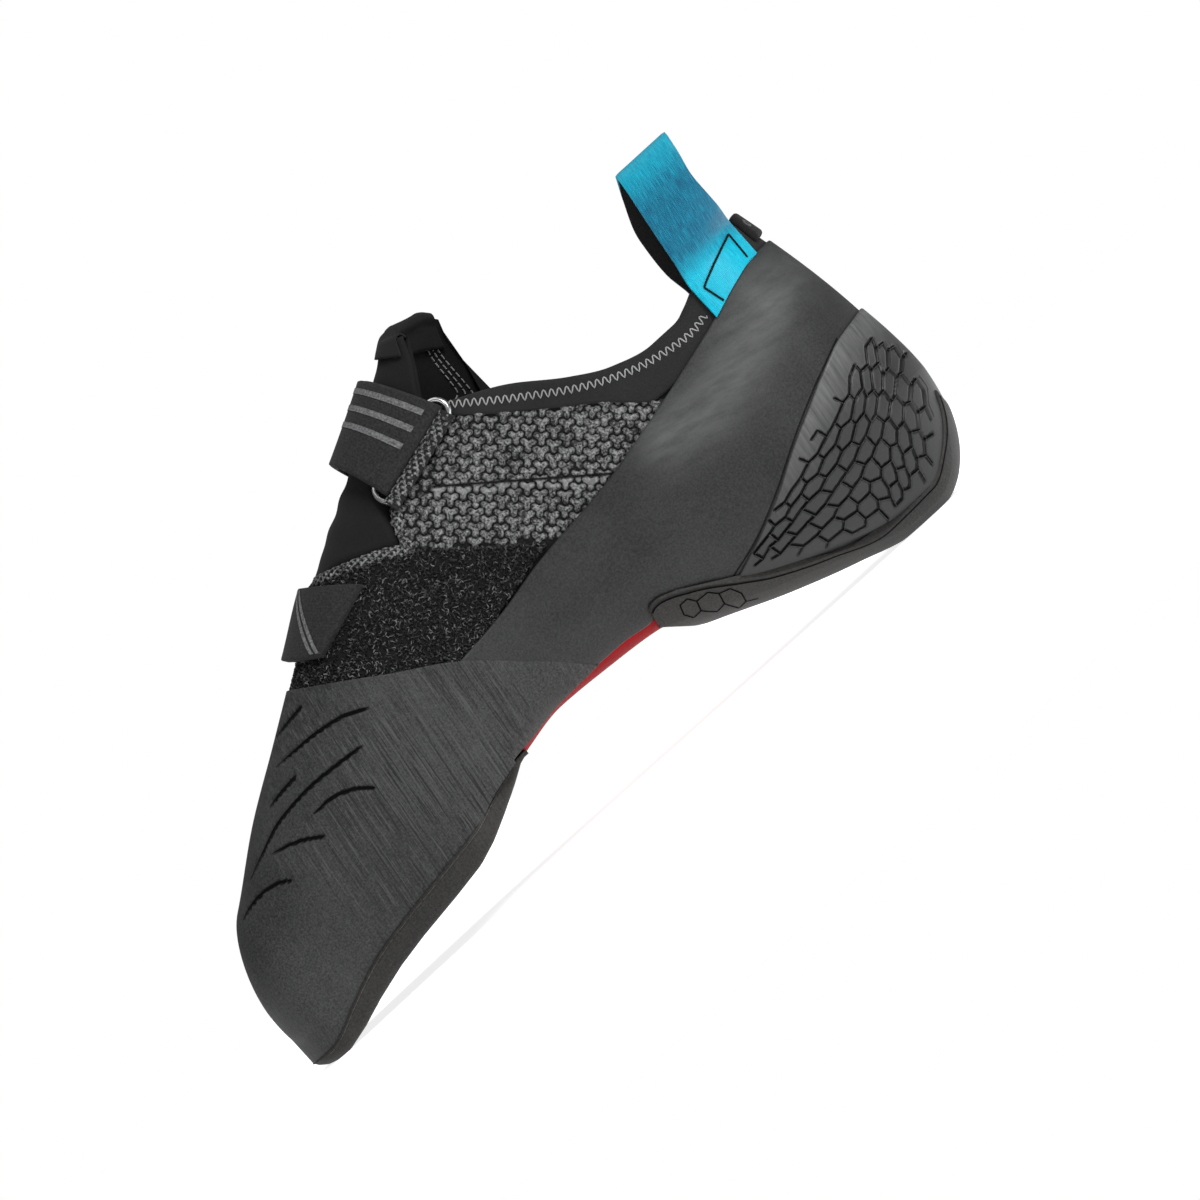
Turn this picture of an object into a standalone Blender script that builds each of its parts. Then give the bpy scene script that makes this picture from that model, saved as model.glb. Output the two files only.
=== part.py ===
"""Downturned climbing shoe for the right foot, empty and standing on its toe and heel.

Metres, +Z up. The toe points to -X and the medial side (big toe) faces -Y.
Every curved piece is cut from one foot form, the last, grown by a layer depth.
"""

import math

import bmesh
import bpy
import numpy as np

MM = 0.001

# Driving sizes of the last, in metres.
LAST_LENGTH = 0.2400
BALL_WIDTH = 0.0800
INSTEP_HEIGHT = 0.1000

# The toe end of the last, and the middle of the shoe's box, measured from the toe tip.
TOE_X = 0.0050
CENTRE_X = 0.1252
CENTRE_Y = -0.0007

# Depth of each layer above the last, in metres.
GAP = 0.0003
SEAM_GAP = 0.0004
UPPER_WALL = 0.0020
OVERLAY_UNDER = UPPER_WALL + GAP
MIDSOLE_OVER = 0.0036
SOLE_TOP = MIDSOLE_OVER + GAP
OUTSOLE_SIDE = 0.0049
TOE_PATCH_OVER = 0.0044
RAND_OVER = 0.0042
HEEL_CUP_OVER = 0.0050
HEEL_SOLE_OVER = 0.0068
LOOP_PATCH_OVER = 0.0038
BINDING_OVER = 0.0032
TONGUE_INSIDE = -0.0022
TONGUE_OVER = 0.0038

# The front outsole draws in towards its rear end, in millimetres.
OUTSOLE_TAPER_START = 72
OUTSOLE_TAPER_RUN = 27
OUTSOLE_TAPER = 9

# Width of the margin that the upper turns in under the foot.
LASTING_MARGIN = 0.0090

# Sections of the last, from toe to heel. Stations are percent of the last's length,
# heights percent of the instep height and widths percent of the ball width.
# edge, crown_in and crown_out say how square the section is at the feather line,
# over the big toe side and over the little toe side (2 is an ellipse).
SECTION_COLUMNS = (
    "station", "bottom", "wide", "top", "medial", "lateral",
    "keel", "ridge", "edge", "crown_in", "crown_out",
)
LAST_SECTIONS = (
    (0.0, 7.5, 18, 36, -39, 5, -18, -19, 6.0, 2.6, 2.0),
    (5.0, 9.2, 20, 44.5, -42, 20, -14, -21, 7.0, 2.6, 2.0),
    (12.5, 14.6, 26, 58.6, -47, 34, -9, -21, 8.0, 2.5, 1.9),
    (20.0, 18.2, 31, 70.5, -49, 43, -4, -19, 8.0, 2.4, 1.8),
    (28.0, 21.2, 36, 83.5, -50, 48, -1, -16, 8.0, 2.3, 1.8),
    (34.0, 26.0, 42, 94, -47, 49, 1, -13, 6.5, 2.2, 1.8),
    (40.0, 30.6, 48, 103, -41, 48, 5, -11, 5.0, 2.1, 1.8),
    (46.0, 33.0, 52, 111, -36, 45, 7, -8, 4.5, 2.1, 1.9),
    (54.0, 32.0, 54, 123, -33, 41, 7, -5, 4.0, 2.1, 2.0),
    (60.0, 30.6, 53, 133, -32, 39, 6, -3, 4.0, 2.1, 2.0),
    (67.0, 24.4, 50, 145, -32, 37, 4, -1, 3.6, 2.1, 2.1),
    (75.0, 16.6, 47, 152, -33, 35, 2, 0, 3.2, 2.1, 2.1),
    (83.0, 10.2, 44, 154, -33, 34, 1, 0, 3.0, 2.1, 2.1),
    (90.0, 6.0, 42, 148, -31, 32, 0, 0, 2.8, 2.1, 2.1),
    (93.0, 5.9, 41, 129, -30, 30, 0, 0, 2.7, 2.1, 2.1),
    (96.0, 5.8, 40, 106, -28, 28, 0, 0, 2.6, 2.1, 2.1),
    (100.0, 4.0, 40, 88, -23, 23, 0, 0, 2.5, 2.1, 2.1),
)

# Each end is rounded off towards one point: reach in plan, above it and below it.
TOE_NOSE = {"y": -0.0150, "z": 0.0165, "plan": 0.0115, "above": 0.0110, "below": 0.0045}
HEEL_NOSE = {"y": 0.0, "z": 0.0400, "plan": 0.0200, "above": 0.0165, "below": 0.0180}

# Rings over each rounded end, rings along the foot, points in a quarter of a ring,
# and the length of curve that one radian of turning counts for.
NOSE_RINGS = 4
FOOT_RINGS = 17
QUARTER_POINTS = 6
TURN_WEIGHT = 0.012

# Side view lines in millimetres: distance from the toe tip, height above the floor.
OUTSOLE_UNDERSIDE = (
    (-2, 9), (0.2, 5.4), (2.0, 2.2), (5.5, 0), (12, 0), (20, 2.0), (28, 4.8), (38, 7.6),
    (48, 9.5), (62, 11.5), (72, 13.2), (79, 15.7), (86, 19.2), (93, 22.8), (98.5, 25.7),
)
OUTSOLE_TOP_EDGE = (
    (-4, 7.0), (10, 7.6), (21, 9.2), (35, 14.0), (47, 16.6), (61.5, 18.9), (77.5, 21.6),
    (88, 25.2), (98.5, 26.8),
)
ARCH_EDGE = ((106, 30.0), (115, 31.8), (131, 32.8), (140, 32.4), (150.5, 30.2))
HEEL_SOLE_EDGE = (
    (150.5, 34.0), (162.5, 29.5), (174, 21.9), (181, 17.4), (196.5, 10.5), (214, 5.0),
    (230, 5.6), (239, 11.0), (248, 21.3), (251.5, 28.5), (256, 37),
)
HEEL_SOLE_UNDERSIDE = (
    (256, 0), (214, 0), (196, 4.6), (180, 9.8), (165, 16.2), (157, 21.4), (150.5, 27.2),
)
TOE_PATCH_EDGE = ((132.3, 31.2), (118, 44.4), (104, 57.4), (90, 66.3), (74, 76.6), (50, 92))
RAND_EDGE = (
    (104, 57.4), (120, 59.1), (138, 62.8), (163, 65.9), (190, 71.9), (216, 79.1), (237, 86.9),
    (256, 94),
)
HEEL_CUP_EDGE = (
    (173.5, 23.8), (184, 26.8), (196, 32.1), (211, 40.4), (224, 46.8), (239, 53.2), (256, 57),
)
COLLAR_EDGE = (
    (146.5, 111), (161.5, 103.4), (177, 92.4), (187, 87.0), (199, 84.0), (207, 84.0),
    (214.5, 86.3), (223, 90.5), (232, 94), (242, 96.5), (256, 98),
)
BINDING_EDGE = ((144.5, 109.5), (161, 96), (178.5, 83.2), (191, 73.6))
THROAT_EDGE = ((86.5, 106), (89.3, 97.4), (100.7, 93.9), (114, 87.7), (115.5, 96), (119.5, 103.6))
KNIT_EDGE = ((142.8, 66.2), (126.3, 77.9), (114, 87.7))

TONGUE_BODY = (
    (87.8, 106), (90.0, 98.1), (101, 94.6), (113.4, 88.9), (114.8, 96.3), (119.0, 104.2),
    (146.3, 111.8), (160.4, 105.6), (157.8, 126), (161, 129.5), (156.2, 137.5), (141.5, 139.5),
    (120, 142), (88, 120),
)
TONGUE_FLANGE = (
    (82, 104), (84.5, 92), (100, 87.5), (112, 80.5), (122, 90), (130, 98), (148, 104), (160, 98),
    (161, 105), (157.8, 126), (161, 129.5), (156.2, 137.5), (141.5, 139.5), (120, 142), (82, 122),
)
TONGUE_TAB = ((141, 128), (140, 138.5), (157, 138.5), (159.5, 128))
HEEL_TAB = ((232, 87.0), (237, 88.2), (256, 95), (256, 97.5), (232, 94.8))

# Straps in side view, medial then lateral: end, edge over the instep, other edge.
# Their depth runs over steps of the ring from the ridge, lateral steps first, in millimetres.
UPPER_STRAP_OUTLINE = ((118.2, 105.1), (113.5, 115.2), (106, 129), (128, 144), (145.4, 113.0))
UPPER_STRAP_LATERAL = ((122, 91), (113.5, 115.2), (106, 129), (128, 144), (145, 115), (150, 98))
UPPER_STRAP_DEPTH = ((-3.4, 2.4), (-2.5, 4.3), (-1, 6.5), (0, 6.9), (1, 6.9), (2, 6.9))
UPPER_STRAP_THICK = 0.0030
LOWER_STRAP_OUTLINE = ((76.9, 83.8), (68, 90.8), (60, 99), (77, 109), (98.4, 90.5))
LOWER_STRAP_LATERAL = ((77, 79), (68, 90.8), (60, 99), (77, 109), (94, 92), (97, 81))
LOWER_STRAP_DEPTH = ((-2.6, 2.4), (-1.7, 4.3), (0, 5.9), (1, 4.9), (1.6, 4.2))
LOWER_STRAP_THICK = 0.0024

# Wire ring under the upper strap's medial end: ends of its long axis, its breadth, wire and depth.
RING_FRONT = (118.0, 100.9)
RING_BACK = (147.8, 110.4)
RING_BREADTH = 6.0
RING_WIRE = 0.0009
RING_DEPTH = 0.0053

# Webbing loop that straddles the collar beside the heel.
LOOP_START = 0.2165
LOOP_END = 0.2335
LOOP_TOP = 0.1250
LOOP_LEAN = 0.0060
LOOP_SKEW = 0.0040
LOOP_TAPE = 0.0016
LOOP_BEND = 0.0050
LOOP_TUCK = 0.0100
LOOP_CLEAR = 0.0011


def column(name, x):
    """Value of one column of the section table at a distance x along the last."""
    scale = {"station": LAST_LENGTH, "edge": 100, "crown_in": 100, "crown_out": 100}
    heights = ("bottom", "wide", "top")
    unit = scale.get(name, INSTEP_HEIGHT if name in heights else BALL_WIDTH) / 100
    rows = np.array(LAST_SECTIONS)
    stations = TOE_X + rows[:, 0] * LAST_LENGTH / 100
    return smooth_value(stations, rows[:, SECTION_COLUMNS.index(name)] * unit, x)


def smooth_value(knots, values, x):
    """Shape-keeping cubic through the knots, level beyond both ends."""
    step = np.diff(knots)
    slope = np.diff(values) / step
    tangent = np.zeros(len(knots))
    same = slope[1:] * slope[:-1] > 0
    inner = 2 * slope[1:] * slope[:-1] / np.where(same, slope[1:] + slope[:-1], 1)
    tangent[1:-1] = np.where(same, inner, 0)
    tangent[0], tangent[-1] = slope[0], slope[-1]
    x = np.clip(x, knots[0], knots[-1])
    i = np.clip(np.searchsorted(knots, x) - 1, 0, len(step) - 1)
    t = (x - knots[i]) / step[i]
    rise = (3 - 2 * t) * t * t
    lead = t * (1 - t) ** 2 * tangent[i] - t * t * (1 - t) * tangent[i + 1]
    return values[i] + (values[i + 1] - values[i]) * rise + lead * step[i]


def nose_share(distance, reach):
    """Share of the full section that is left at a distance from a rounded end."""
    part = 1 - min(1.0, max(0.0, distance / reach))
    return math.sqrt(1 - part * part)


def quarter(across, up, power, count):
    """Quarter of a superellipse from (0, up) to (across, 0), closest where it turns."""
    angle = np.linspace(0, math.pi / 2, 181)
    y = across * np.sin(angle) ** (2 / power)
    z = up * np.cos(angle) ** (2 / power)
    dy, dz = np.diff(y), np.diff(z)
    heading = np.unwrap(np.arctan2(dz, dy))
    turn = np.abs(np.concatenate([[0], np.diff(heading)]))
    run = np.concatenate([[0], np.cumsum(np.hypot(dy, dz) + TURN_WEIGHT * turn)])
    even = np.linspace(0, run[-1], count + 1)
    return np.stack([np.interp(even, run, y), np.interp(even, run, z)], axis=1)


def section(x):
    """Ring of the last at x: from the ridge down the medial side and up the lateral side."""
    c = {name: float(column(name, x)) for name in SECTION_COLUMNS}
    crown, depth = c["top"] - c["wide"], c["bottom"] - c["wide"]
    n = QUARTER_POINTS
    parts = (
        (c["ridge"], quarter(c["medial"] - c["ridge"], crown, c["crown_in"], n)),
        (c["keel"], quarter(c["medial"] - c["keel"], depth, c["edge"], n)[::-1]),
        (c["keel"], quarter(c["lateral"] - c["keel"], depth, c["edge"], n)),
        (c["ridge"], quarter(c["lateral"] - c["ridge"], crown, c["crown_out"], n)[::-1]),
    )
    ring = np.concatenate([part[:-1] + (middle, c["wide"]) for middle, part in parts])
    for nose, distance in ((TOE_NOSE, x - TOE_X), (HEEL_NOSE, TOE_X + LAST_LENGTH - x)):
        above = ring[:, 1] > nose["z"]
        up = nose_share(distance, nose["above"])
        down = nose_share(distance, nose["below"])
        ring[:, 0] = nose["y"] + (ring[:, 0] - nose["y"]) * nose_share(distance, nose["plan"])
        ring[:, 1] = nose["z"] + (ring[:, 1] - nose["z"]) * np.where(above, up, down)
    return np.column_stack([np.full(len(ring), x), ring])


def stations():
    """Distances of the rings: close together over the rounded ends."""
    angles = np.linspace(0, math.pi / 2, NOSE_RINGS + 1)[1:]
    toe = TOE_X + TOE_NOSE["plan"] * (1 - np.cos(angles))
    heel = TOE_X + LAST_LENGTH - HEEL_NOSE["plan"] * (1 - np.cos(angles[::-1]))
    return np.concatenate([toe, np.linspace(toe[-1], heel[0], FOOT_RINGS)[1:-1], heel])


def last_points():
    """Rings of the last and the direction that each point grows in."""
    rings = np.array([section(x) for x in stations()])
    toe = np.array([TOE_X, TOE_NOSE["y"], TOE_NOSE["z"]])
    heel = np.array([TOE_X + LAST_LENGTH, HEEL_NOSE["y"], HEEL_NOSE["z"]])
    width = rings.shape[1]
    closed = np.concatenate([[np.tile(toe, (width, 1))], rings, [np.tile(heel, (width, 1))]])
    along = closed[2:] - closed[:-2]
    around = np.roll(rings, -1, axis=1) - np.roll(rings, 1, axis=1)
    normal = np.cross(around, along)
    normal /= np.linalg.norm(normal, axis=2, keepdims=True)
    return rings, normal, toe, heel


RINGS, NORMALS, TOE_POINT, HEEL_POINT = last_points()


def grown(depth, profile=None):
    """Last grown by a depth all over, plus a profile over the steps from its ridge."""
    width = RINGS.shape[1]
    steps = (np.arange(width) + width // 2) % width - width // 2
    extra = np.interp(steps, *np.array(profile).T) * MM if profile else np.zeros(width)
    rings = RINGS + NORMALS * (depth + extra)[None, :, None]
    ends = (depth + extra.min(), 0, 0)
    return rings, TOE_POINT - ends, HEEL_POINT + ends


def add_object(name, vertices, faces, material=None):
    """Mesh object from points in metres measured from the toe tip."""
    mesh = bpy.data.meshes.new(name)
    shifted = [(p[0] - CENTRE_X, p[1] - CENTRE_Y, p[2]) for p in vertices]
    mesh.from_pydata(shifted, [], faces)
    work = bmesh.new()
    work.from_mesh(mesh)
    bmesh.ops.recalc_face_normals(work, faces=work.faces[:])
    work.to_mesh(mesh)
    work.free()
    item = bpy.data.objects.new(name, mesh)
    bpy.context.scene.collection.objects.link(item)
    if material:
        mesh.materials.append(material)
    return item


def add_form(name, depth, material=None, profile=None):
    """Closed foot form: the last grown by a depth."""
    rings, toe, heel = grown(depth, profile)
    count, width = rings.shape[:2]
    vertices = [*rings.reshape(-1, 3), toe, heel]
    faces = []
    for j in range(width):
        k = (j + 1) % width
        faces.append((count * width, k, j))
        faces.append((count * width + 1, (count - 1) * width + j, (count - 1) * width + k))
        for i in range(count - 1):
            a, b = i * width, (i + 1) * width
            faces.append((a + j, a + k, b + j))
            faces.append((a + k, b + k, b + j))
    return add_object(name, vertices, faces, material)


def add_prism(name, outline, low, high, axis, material=None):
    """Straight prism of an outline in millimetres, along Y (side view) or Z (plan view)."""
    vertices = []
    for end in (low, high):
        for a, b in outline:
            vertices.append((a * MM, end, b * MM) if axis == "Y" else (a * MM, b * MM, end))
    n = len(outline)
    faces = [tuple(range(n)), tuple(range(2 * n - 1, n - 1, -1))]
    for i in range(n):
        k = (i + 1) % n
        faces.append((i, n + i, n + k, k))
    return add_object(name, vertices, faces, material)


def curve(points, step=5.4):
    """Smooth line through a few side view points, sampled about every step."""
    p = np.array(points, dtype=float)
    run = np.concatenate([[0], np.cumsum(np.hypot(*np.diff(p, axis=0).T))])
    at = np.linspace(0, run[-1], max(len(p), int(run[-1] / step) + 1))
    fitted = [smooth_value(run, p[:, k], at) for k in (0, 1)]
    return list(zip(*fitted))


def aside(line, distance):
    """Line moved to its left by a distance, in millimetres."""
    p = np.array(line)
    d = np.gradient(p, axis=0)
    d /= np.linalg.norm(d, axis=1, keepdims=True)
    return [tuple(q) for q in p + np.column_stack([-d[:, 1], d[:, 0]]) * distance]


def cut(piece, tool, operation="DIFFERENCE"):
    """Boolean on a piece; the tool stays in the file as a hidden wire."""
    modifier = piece.modifiers.new(operation.title(), "BOOLEAN")
    modifier.operation = operation
    modifier.solver = "EXACT"
    modifier.object = tool
    tool.hide_render = True
    tool.display_type = "WIRE"


def paint(name, colour, roughness, metallic=0.0):
    material = bpy.data.materials.new(name)
    material.use_nodes = True
    shader = material.node_tree.nodes["Principled BSDF"]
    shader.inputs["Base Color"].default_value = (*colour, 1)
    shader.inputs["Roughness"].default_value = roughness
    shader.inputs["Metallic"].default_value = metallic
    return material


def add_skin(name, under, over, outline, material, side=(-0.1, 0.1)):
    """Layer between two grown forms, trimmed to an outline seen from the side."""
    piece = add_form(name, over, material)
    cut(piece, add_form(name + "_inside", under))
    cut(piece, add_prism(name + "_outline", outline, side[0], side[1], "Y"), "INTERSECT")
    return piece


def add_strap(name, outlines, depth, thick, material):
    """Band over the instep with its own outline on each side and its own depth."""
    medial, lateral = outlines
    piece = add_form(name, thick, material, depth)
    cut(piece, add_form(name + "_inside", 0.0, profile=depth))
    outline = add_prism(name + "_medial", medial, -0.1, -0.006, "Y")
    cut(outline, add_prism(name + "_lateral", lateral, -0.010, 0.1, "Y"), "UNION")
    cut(piece, outline, "INTERSECT")


def foot_hole(name, inset, floor, ceiling_drop):
    """Solid through the bottom of the upper, inside the lasting margin."""
    xs = np.linspace(TOE_X + 0.016, TOE_X + LAST_LENGTH - 0.021, 20)
    vertices = []
    for x in xs:
        ring = section(x)
        left, right = ring[:, 1].min() + inset, ring[:, 1].max() - inset
        high = float(column("wide", x)) - ceiling_drop
        vertices += [(x, left, floor), (x, right, floor), (x, right, high), (x, left, high)]
    last = len(vertices) - 4
    faces = [(0, 1, 2, 3), (last + 3, last + 2, last + 1, last)]
    for a in range(0, last, 4):
        for k in range(4):
            m = (k + 1) % 4
            faces.append((a + k, a + m, a + 4 + m, a + 4 + k))
    return add_object(name, vertices, faces)


def add_upper(material):
    upper = add_form("upper", UPPER_WALL, material=material)
    cut(upper, add_form("foot_space", 0.0))
    mouth = [*THROAT_EDGE, *curve(COLLAR_EDGE), (256, 175), (86.5, 175)]
    cut(upper, add_prism("mouth", mouth, -0.1, 0.1, "Y"))
    cut(upper, foot_hole("bottom_opening", LASTING_MARGIN, -0.02, 0.004))


def add_insole(material):
    insole = add_form("insole", UPPER_WALL, material=material)
    cut(insole, add_form("insole_top", 0.0))
    cut(insole, foot_hole("insole_outline", LASTING_MARGIN + GAP, -0.02, 0.004), "INTERSECT")


def front_edge():
    """Upper edge of the outsole and of the arch plate, from the toe to the heel sole."""
    return curve((*OUTSOLE_TOP_EDGE, *ARCH_EDGE))


def outsole_plan():
    """Plan outline of the front outsole, drawn in towards its rear end."""
    rings = RINGS + NORMALS * OUTSOLE_SIDE
    medial, lateral = [], []
    for ring in rings[rings[:, 0, 0] < 0.125] / MM:
        for line, index, inward in ((medial, QUARTER_POINTS, 1), (lateral, 3 * QUARTER_POINTS, -1)):
            x, y = ring[index, :2]
            part = min(1.0, max(0.0, (x - OUTSOLE_TAPER_START) / OUTSOLE_TAPER_RUN))
            line.append((x, y + inward * OUTSOLE_TAPER * part * part))
    tip = ((TOE_X - OUTSOLE_SIDE) / MM, TOE_NOSE["y"] / MM)
    return [*medial[::-1], tip, *lateral]


def add_bottom(red, dark):
    outline = [*front_edge(), *curve(HEEL_SOLE_EDGE), (256, -20), (-10, -20)]
    add_skin("midsole", OVERLAY_UNDER, MIDSOLE_OVER, outline, red)

    outsole = add_prism("front_outsole", outsole_plan(), -0.02, 0.05, "Z", dark)
    profile = [*OUTSOLE_UNDERSIDE, *curve(OUTSOLE_TOP_EDGE)[::-1]]
    cut(outsole, add_prism("front_outsole_profile", profile, -0.1, 0.1, "Y"), "INTERSECT")
    cut(outsole, add_form("front_outsole_top", SOLE_TOP))

    strip = [*curve(HEEL_SOLE_EDGE), *HEEL_SOLE_UNDERSIDE]
    add_skin("heel_sole", SOLE_TOP, HEEL_SOLE_OVER, strip, dark)


def add_rubber(material, cup_material):
    gap = SEAM_GAP / MM
    low_edge = aside(front_edge(), gap)
    heel_edge = aside(curve(HEEL_SOLE_EDGE), gap)
    cup_edge = curve(HEEL_CUP_EDGE)
    toe_edge = [p for p in curve(TOE_PATCH_EDGE) if p[1] > 34]

    toe_low = [p for p in low_edge if p[0] < 128]
    toe = [(-10, 7.3), *toe_low, *toe_edge, (-10, 92)]
    add_skin("toe_patch", OVERLAY_UNDER, TOE_PATCH_OVER, toe, material)

    arch = [p for p in low_edge if 134 < p[0] < 149.5]
    notch = [(149.9, arch[-1][1]), (149.9, heel_edge[0][1])]
    heel_front = [p for p in heel_edge if 152 < p[0] < 170]
    toe_side = [p for p in aside(toe_edge, -gap) if p[1] < 57]
    low = [*arch, *notch, *heel_front, *aside(cup_edge, gap)]
    rand = [*low, *curve(RAND_EDGE)[::-1], *toe_side[::-1]]
    add_skin("sling_rand", OVERLAY_UNDER, RAND_OVER, rand, material)

    heel_back = [p for p in heel_edge if p[0] > 174]
    add_skin("heel_cup", OVERLAY_UNDER, HEEL_CUP_OVER, [*heel_back, *cup_edge[::-1]], cup_material)


def add_textiles(patch, band):
    gap = SEAM_GAP / MM
    toe_edge = [p for p in aside(curve(TOE_PATCH_EDGE), -gap) if p[1] > 58.2]
    rand_edge = aside(curve(RAND_EDGE), gap)
    low = [p for p in rand_edge if p[0] < 140]
    throat = [p for p in THROAT_EDGE if p[0] < 114.5]
    outline = [*low, *KNIT_EDGE, *throat[-2::-1], *toe_edge[::-1]]
    add_skin("loop_patch", OVERLAY_UNDER, LOOP_PATCH_OVER, outline, patch, (-0.1, 0.012))

    back = [p for p in rand_edge if p[0] > 193]
    band_outline = [*BINDING_EDGE, *back, *curve(COLLAR_EDGE)[::-1]]
    add_skin("collar_binding", OVERLAY_UNDER, BINDING_OVER, band_outline, band)


def add_tongue(material, tape):
    tongue = add_form("tongue", TONGUE_OVER, material=material)
    cut(tongue, add_form("tongue_under", TONGUE_INSIDE + GAP))
    cut(tongue, add_prism("tongue_body", TONGUE_BODY, -0.1, 0.1, "Y"), "INTERSECT")
    cut(tongue, add_skin("tongue_flange", TONGUE_INSIDE, -GAP, TONGUE_FLANGE, material), "UNION")
    add_skin("tongue_tab", TONGUE_OVER + GAP, TONGUE_OVER + 0.0018, TONGUE_TAB, tape, (-0.011, 0.011))


def wall(x, z):
    """Point of the last's medial side at a distance and height, and the way out of it."""
    def depth(x, z):
        for nose, distance in ((TOE_NOSE, x - TOE_X), (HEEL_NOSE, TOE_X + LAST_LENGTH - x)):
            share = nose_share(distance, nose["above"] if z > nose["z"] else nose["below"])
            z = nose["z"] + (z - nose["z"]) / share
        c = {name: float(column(name, x)) for name in SECTION_COLUMNS}
        high = z > c["wide"]
        middle = c["ridge"] if high else c["keel"]
        power = c["crown_in"] if high else c["edge"]
        part = abs(z - c["wide"]) / abs((c["top"] if high else c["bottom"]) - c["wide"])
        y = middle + (c["medial"] - middle) * (1 - min(1.0, part) ** power) ** (1 / power)
        for nose, distance in ((TOE_NOSE, x - TOE_X), (HEEL_NOSE, TOE_X + LAST_LENGTH - x)):
            y = nose["y"] + (y - nose["y"]) * nose_share(distance, nose["plan"])
        return y

    e = 0.0005
    out = np.array([
        (depth(x + e, z) - depth(x - e, z)) / (2 * e), -1.0, (depth(x, z + e) - depth(x, z - e)) / (2 * e),
    ])
    return np.array([x, depth(x, z), z]), out / np.linalg.norm(out)


def add_ring(material):
    """Wire bent to a long rounded ring that lies on the medial side."""
    front, back = np.array(RING_FRONT), np.array(RING_BACK)
    along = (back - front) / np.linalg.norm(back - front)
    across = np.array([-along[1], along[0]])
    half = np.linalg.norm(back - front) / 2 - RING_BREADTH / 2
    outline = []
    for turn in np.linspace(-math.pi / 2, math.pi * 1.5, 20, endpoint=False):
        end = half if math.cos(turn) > -1e-6 else -half
        bend = along * math.cos(turn) + across * math.sin(turn)
        outline.append((front + back) / 2 + along * end + bend * RING_BREADTH / 2)
    vertices, faces = [], []
    n, sides = len(outline), 6
    centres = []
    for x, z in outline:
        point, out = wall(x * MM, z * MM)
        centres.append((point + out * RING_DEPTH, out))
    for i, (centre, out) in enumerate(centres):
        way = centres[(i + 1) % n][0] - centres[i - 1][0]
        cross = np.cross(out, way)
        cross /= np.linalg.norm(cross)
        for k in range(sides):
            a = 2 * math.pi * k / sides
            vertices.append(centre + (out * math.cos(a) + cross * math.sin(a)) * RING_WIRE)
            j, m = (i + 1) % n, (k + 1) % sides
            faces.append((i * sides + k, i * sides + m, j * sides + m, j * sides + k))
    add_object("strap_ring", vertices, faces, material)


def line_height(line, x):
    return float(np.interp(x / MM, [p[0] for p in line], [p[1] for p in line])) * MM


def add_pull_loop(material):
    """Tape from the rand's edge up over the collar and down inside it."""
    outer, inner = BINDING_OVER + GAP + LOOP_TAPE / 2, -LOOP_CLEAR - LOOP_TAPE / 2
    facing = np.array([0.0, -1.0, 0.0])
    top = LOOP_TOP - LOOP_BEND

    def rim_middle(x):
        base, out = wall(x, line_height(COLLAR_EDGE, x))
        flat = np.array([out[0], out[1], 0]) / math.hypot(out[0], out[1])
        return base + flat * (outer + inner) / 2, flat

    centre = rim_middle((LOOP_START + LOOP_END) / 2)[0]
    rows = []
    for x in np.linspace(LOOP_START, LOOP_END, 5):
        low, rim = line_height(RAND_EDGE, x) + 0.0012, line_height(COLLAR_EDGE, x)
        path = []
        for z in (low, (low + rim) / 2, rim + 0.001):
            point, out = wall(x, z)
            path.append(point + out * outer)
        middle, flat = rim_middle(x)
        free = [(0.9, rim + 0.3 * (top - rim)), (1.0, rim + 0.65 * (top - rim))]
        free += [(math.cos(a), top + LOOP_BEND * math.sin(a)) for a in np.linspace(0, math.pi, 7)]
        free += [(-1.0, rim + 0.65 * (top - rim)), (-0.9, rim + 0.3 * (top - rim))]
        for reach, z in free:
            rise = (z - rim) / (LOOP_TOP - rim)
            settled = min(1.0, rise / 0.45)
            way = flat + (facing - flat) * settled
            lean = LOOP_LEAN * rise - LOOP_SKEW * (0.5 - 0.5 * reach) * math.sin(math.pi * rise)
            y = middle[1] + (centre[1] - middle[1]) * settled
            path.append(np.array([middle[0] + lean, y, z]) + way * reach * LOOP_BEND)
        for z in (rim + 0.001, rim - LOOP_TUCK / 2, rim - LOOP_TUCK):
            point, out = wall(x, z)
            path.append(point + out * inner)
        rows.append(path)
    grid = np.array(rows)
    across, along = np.gradient(grid, axis=0), np.gradient(grid, axis=1)
    face = np.cross(along, across)
    face *= LOOP_TAPE / 2 / np.linalg.norm(face, axis=2, keepdims=True)
    add_plate("pull_loop", grid + face, grid - face, material)


def add_plate(name, front, back, material):
    """Closed solid between two grids of points."""
    rows, steps = front.shape[:2]
    vertices = [*front.reshape(-1, 3), *back.reshape(-1, 3)]
    size = rows * steps
    faces = []
    for i in range(rows - 1):
        for j in range(steps - 1):
            a, d = i * steps + j, (i + 1) * steps + j
            b, c = a + 1, d + 1
            faces += [(a, b, c), (a, c, d)]
            faces += [(size + c, size + b, size + a), (size + d, size + c, size + a)]
    rim = [i * steps for i in range(rows)]
    rim += [(rows - 1) * steps + j for j in range(1, steps)]
    rim += [i * steps + steps - 1 for i in range(rows - 2, -1, -1)]
    rim += list(range(steps - 2, 0, -1))
    for a, b in zip(rim, rim[1:] + rim[:1]):
        faces.append((a, b, size + b, size + a))
    add_object(name, vertices, faces, material)


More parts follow.
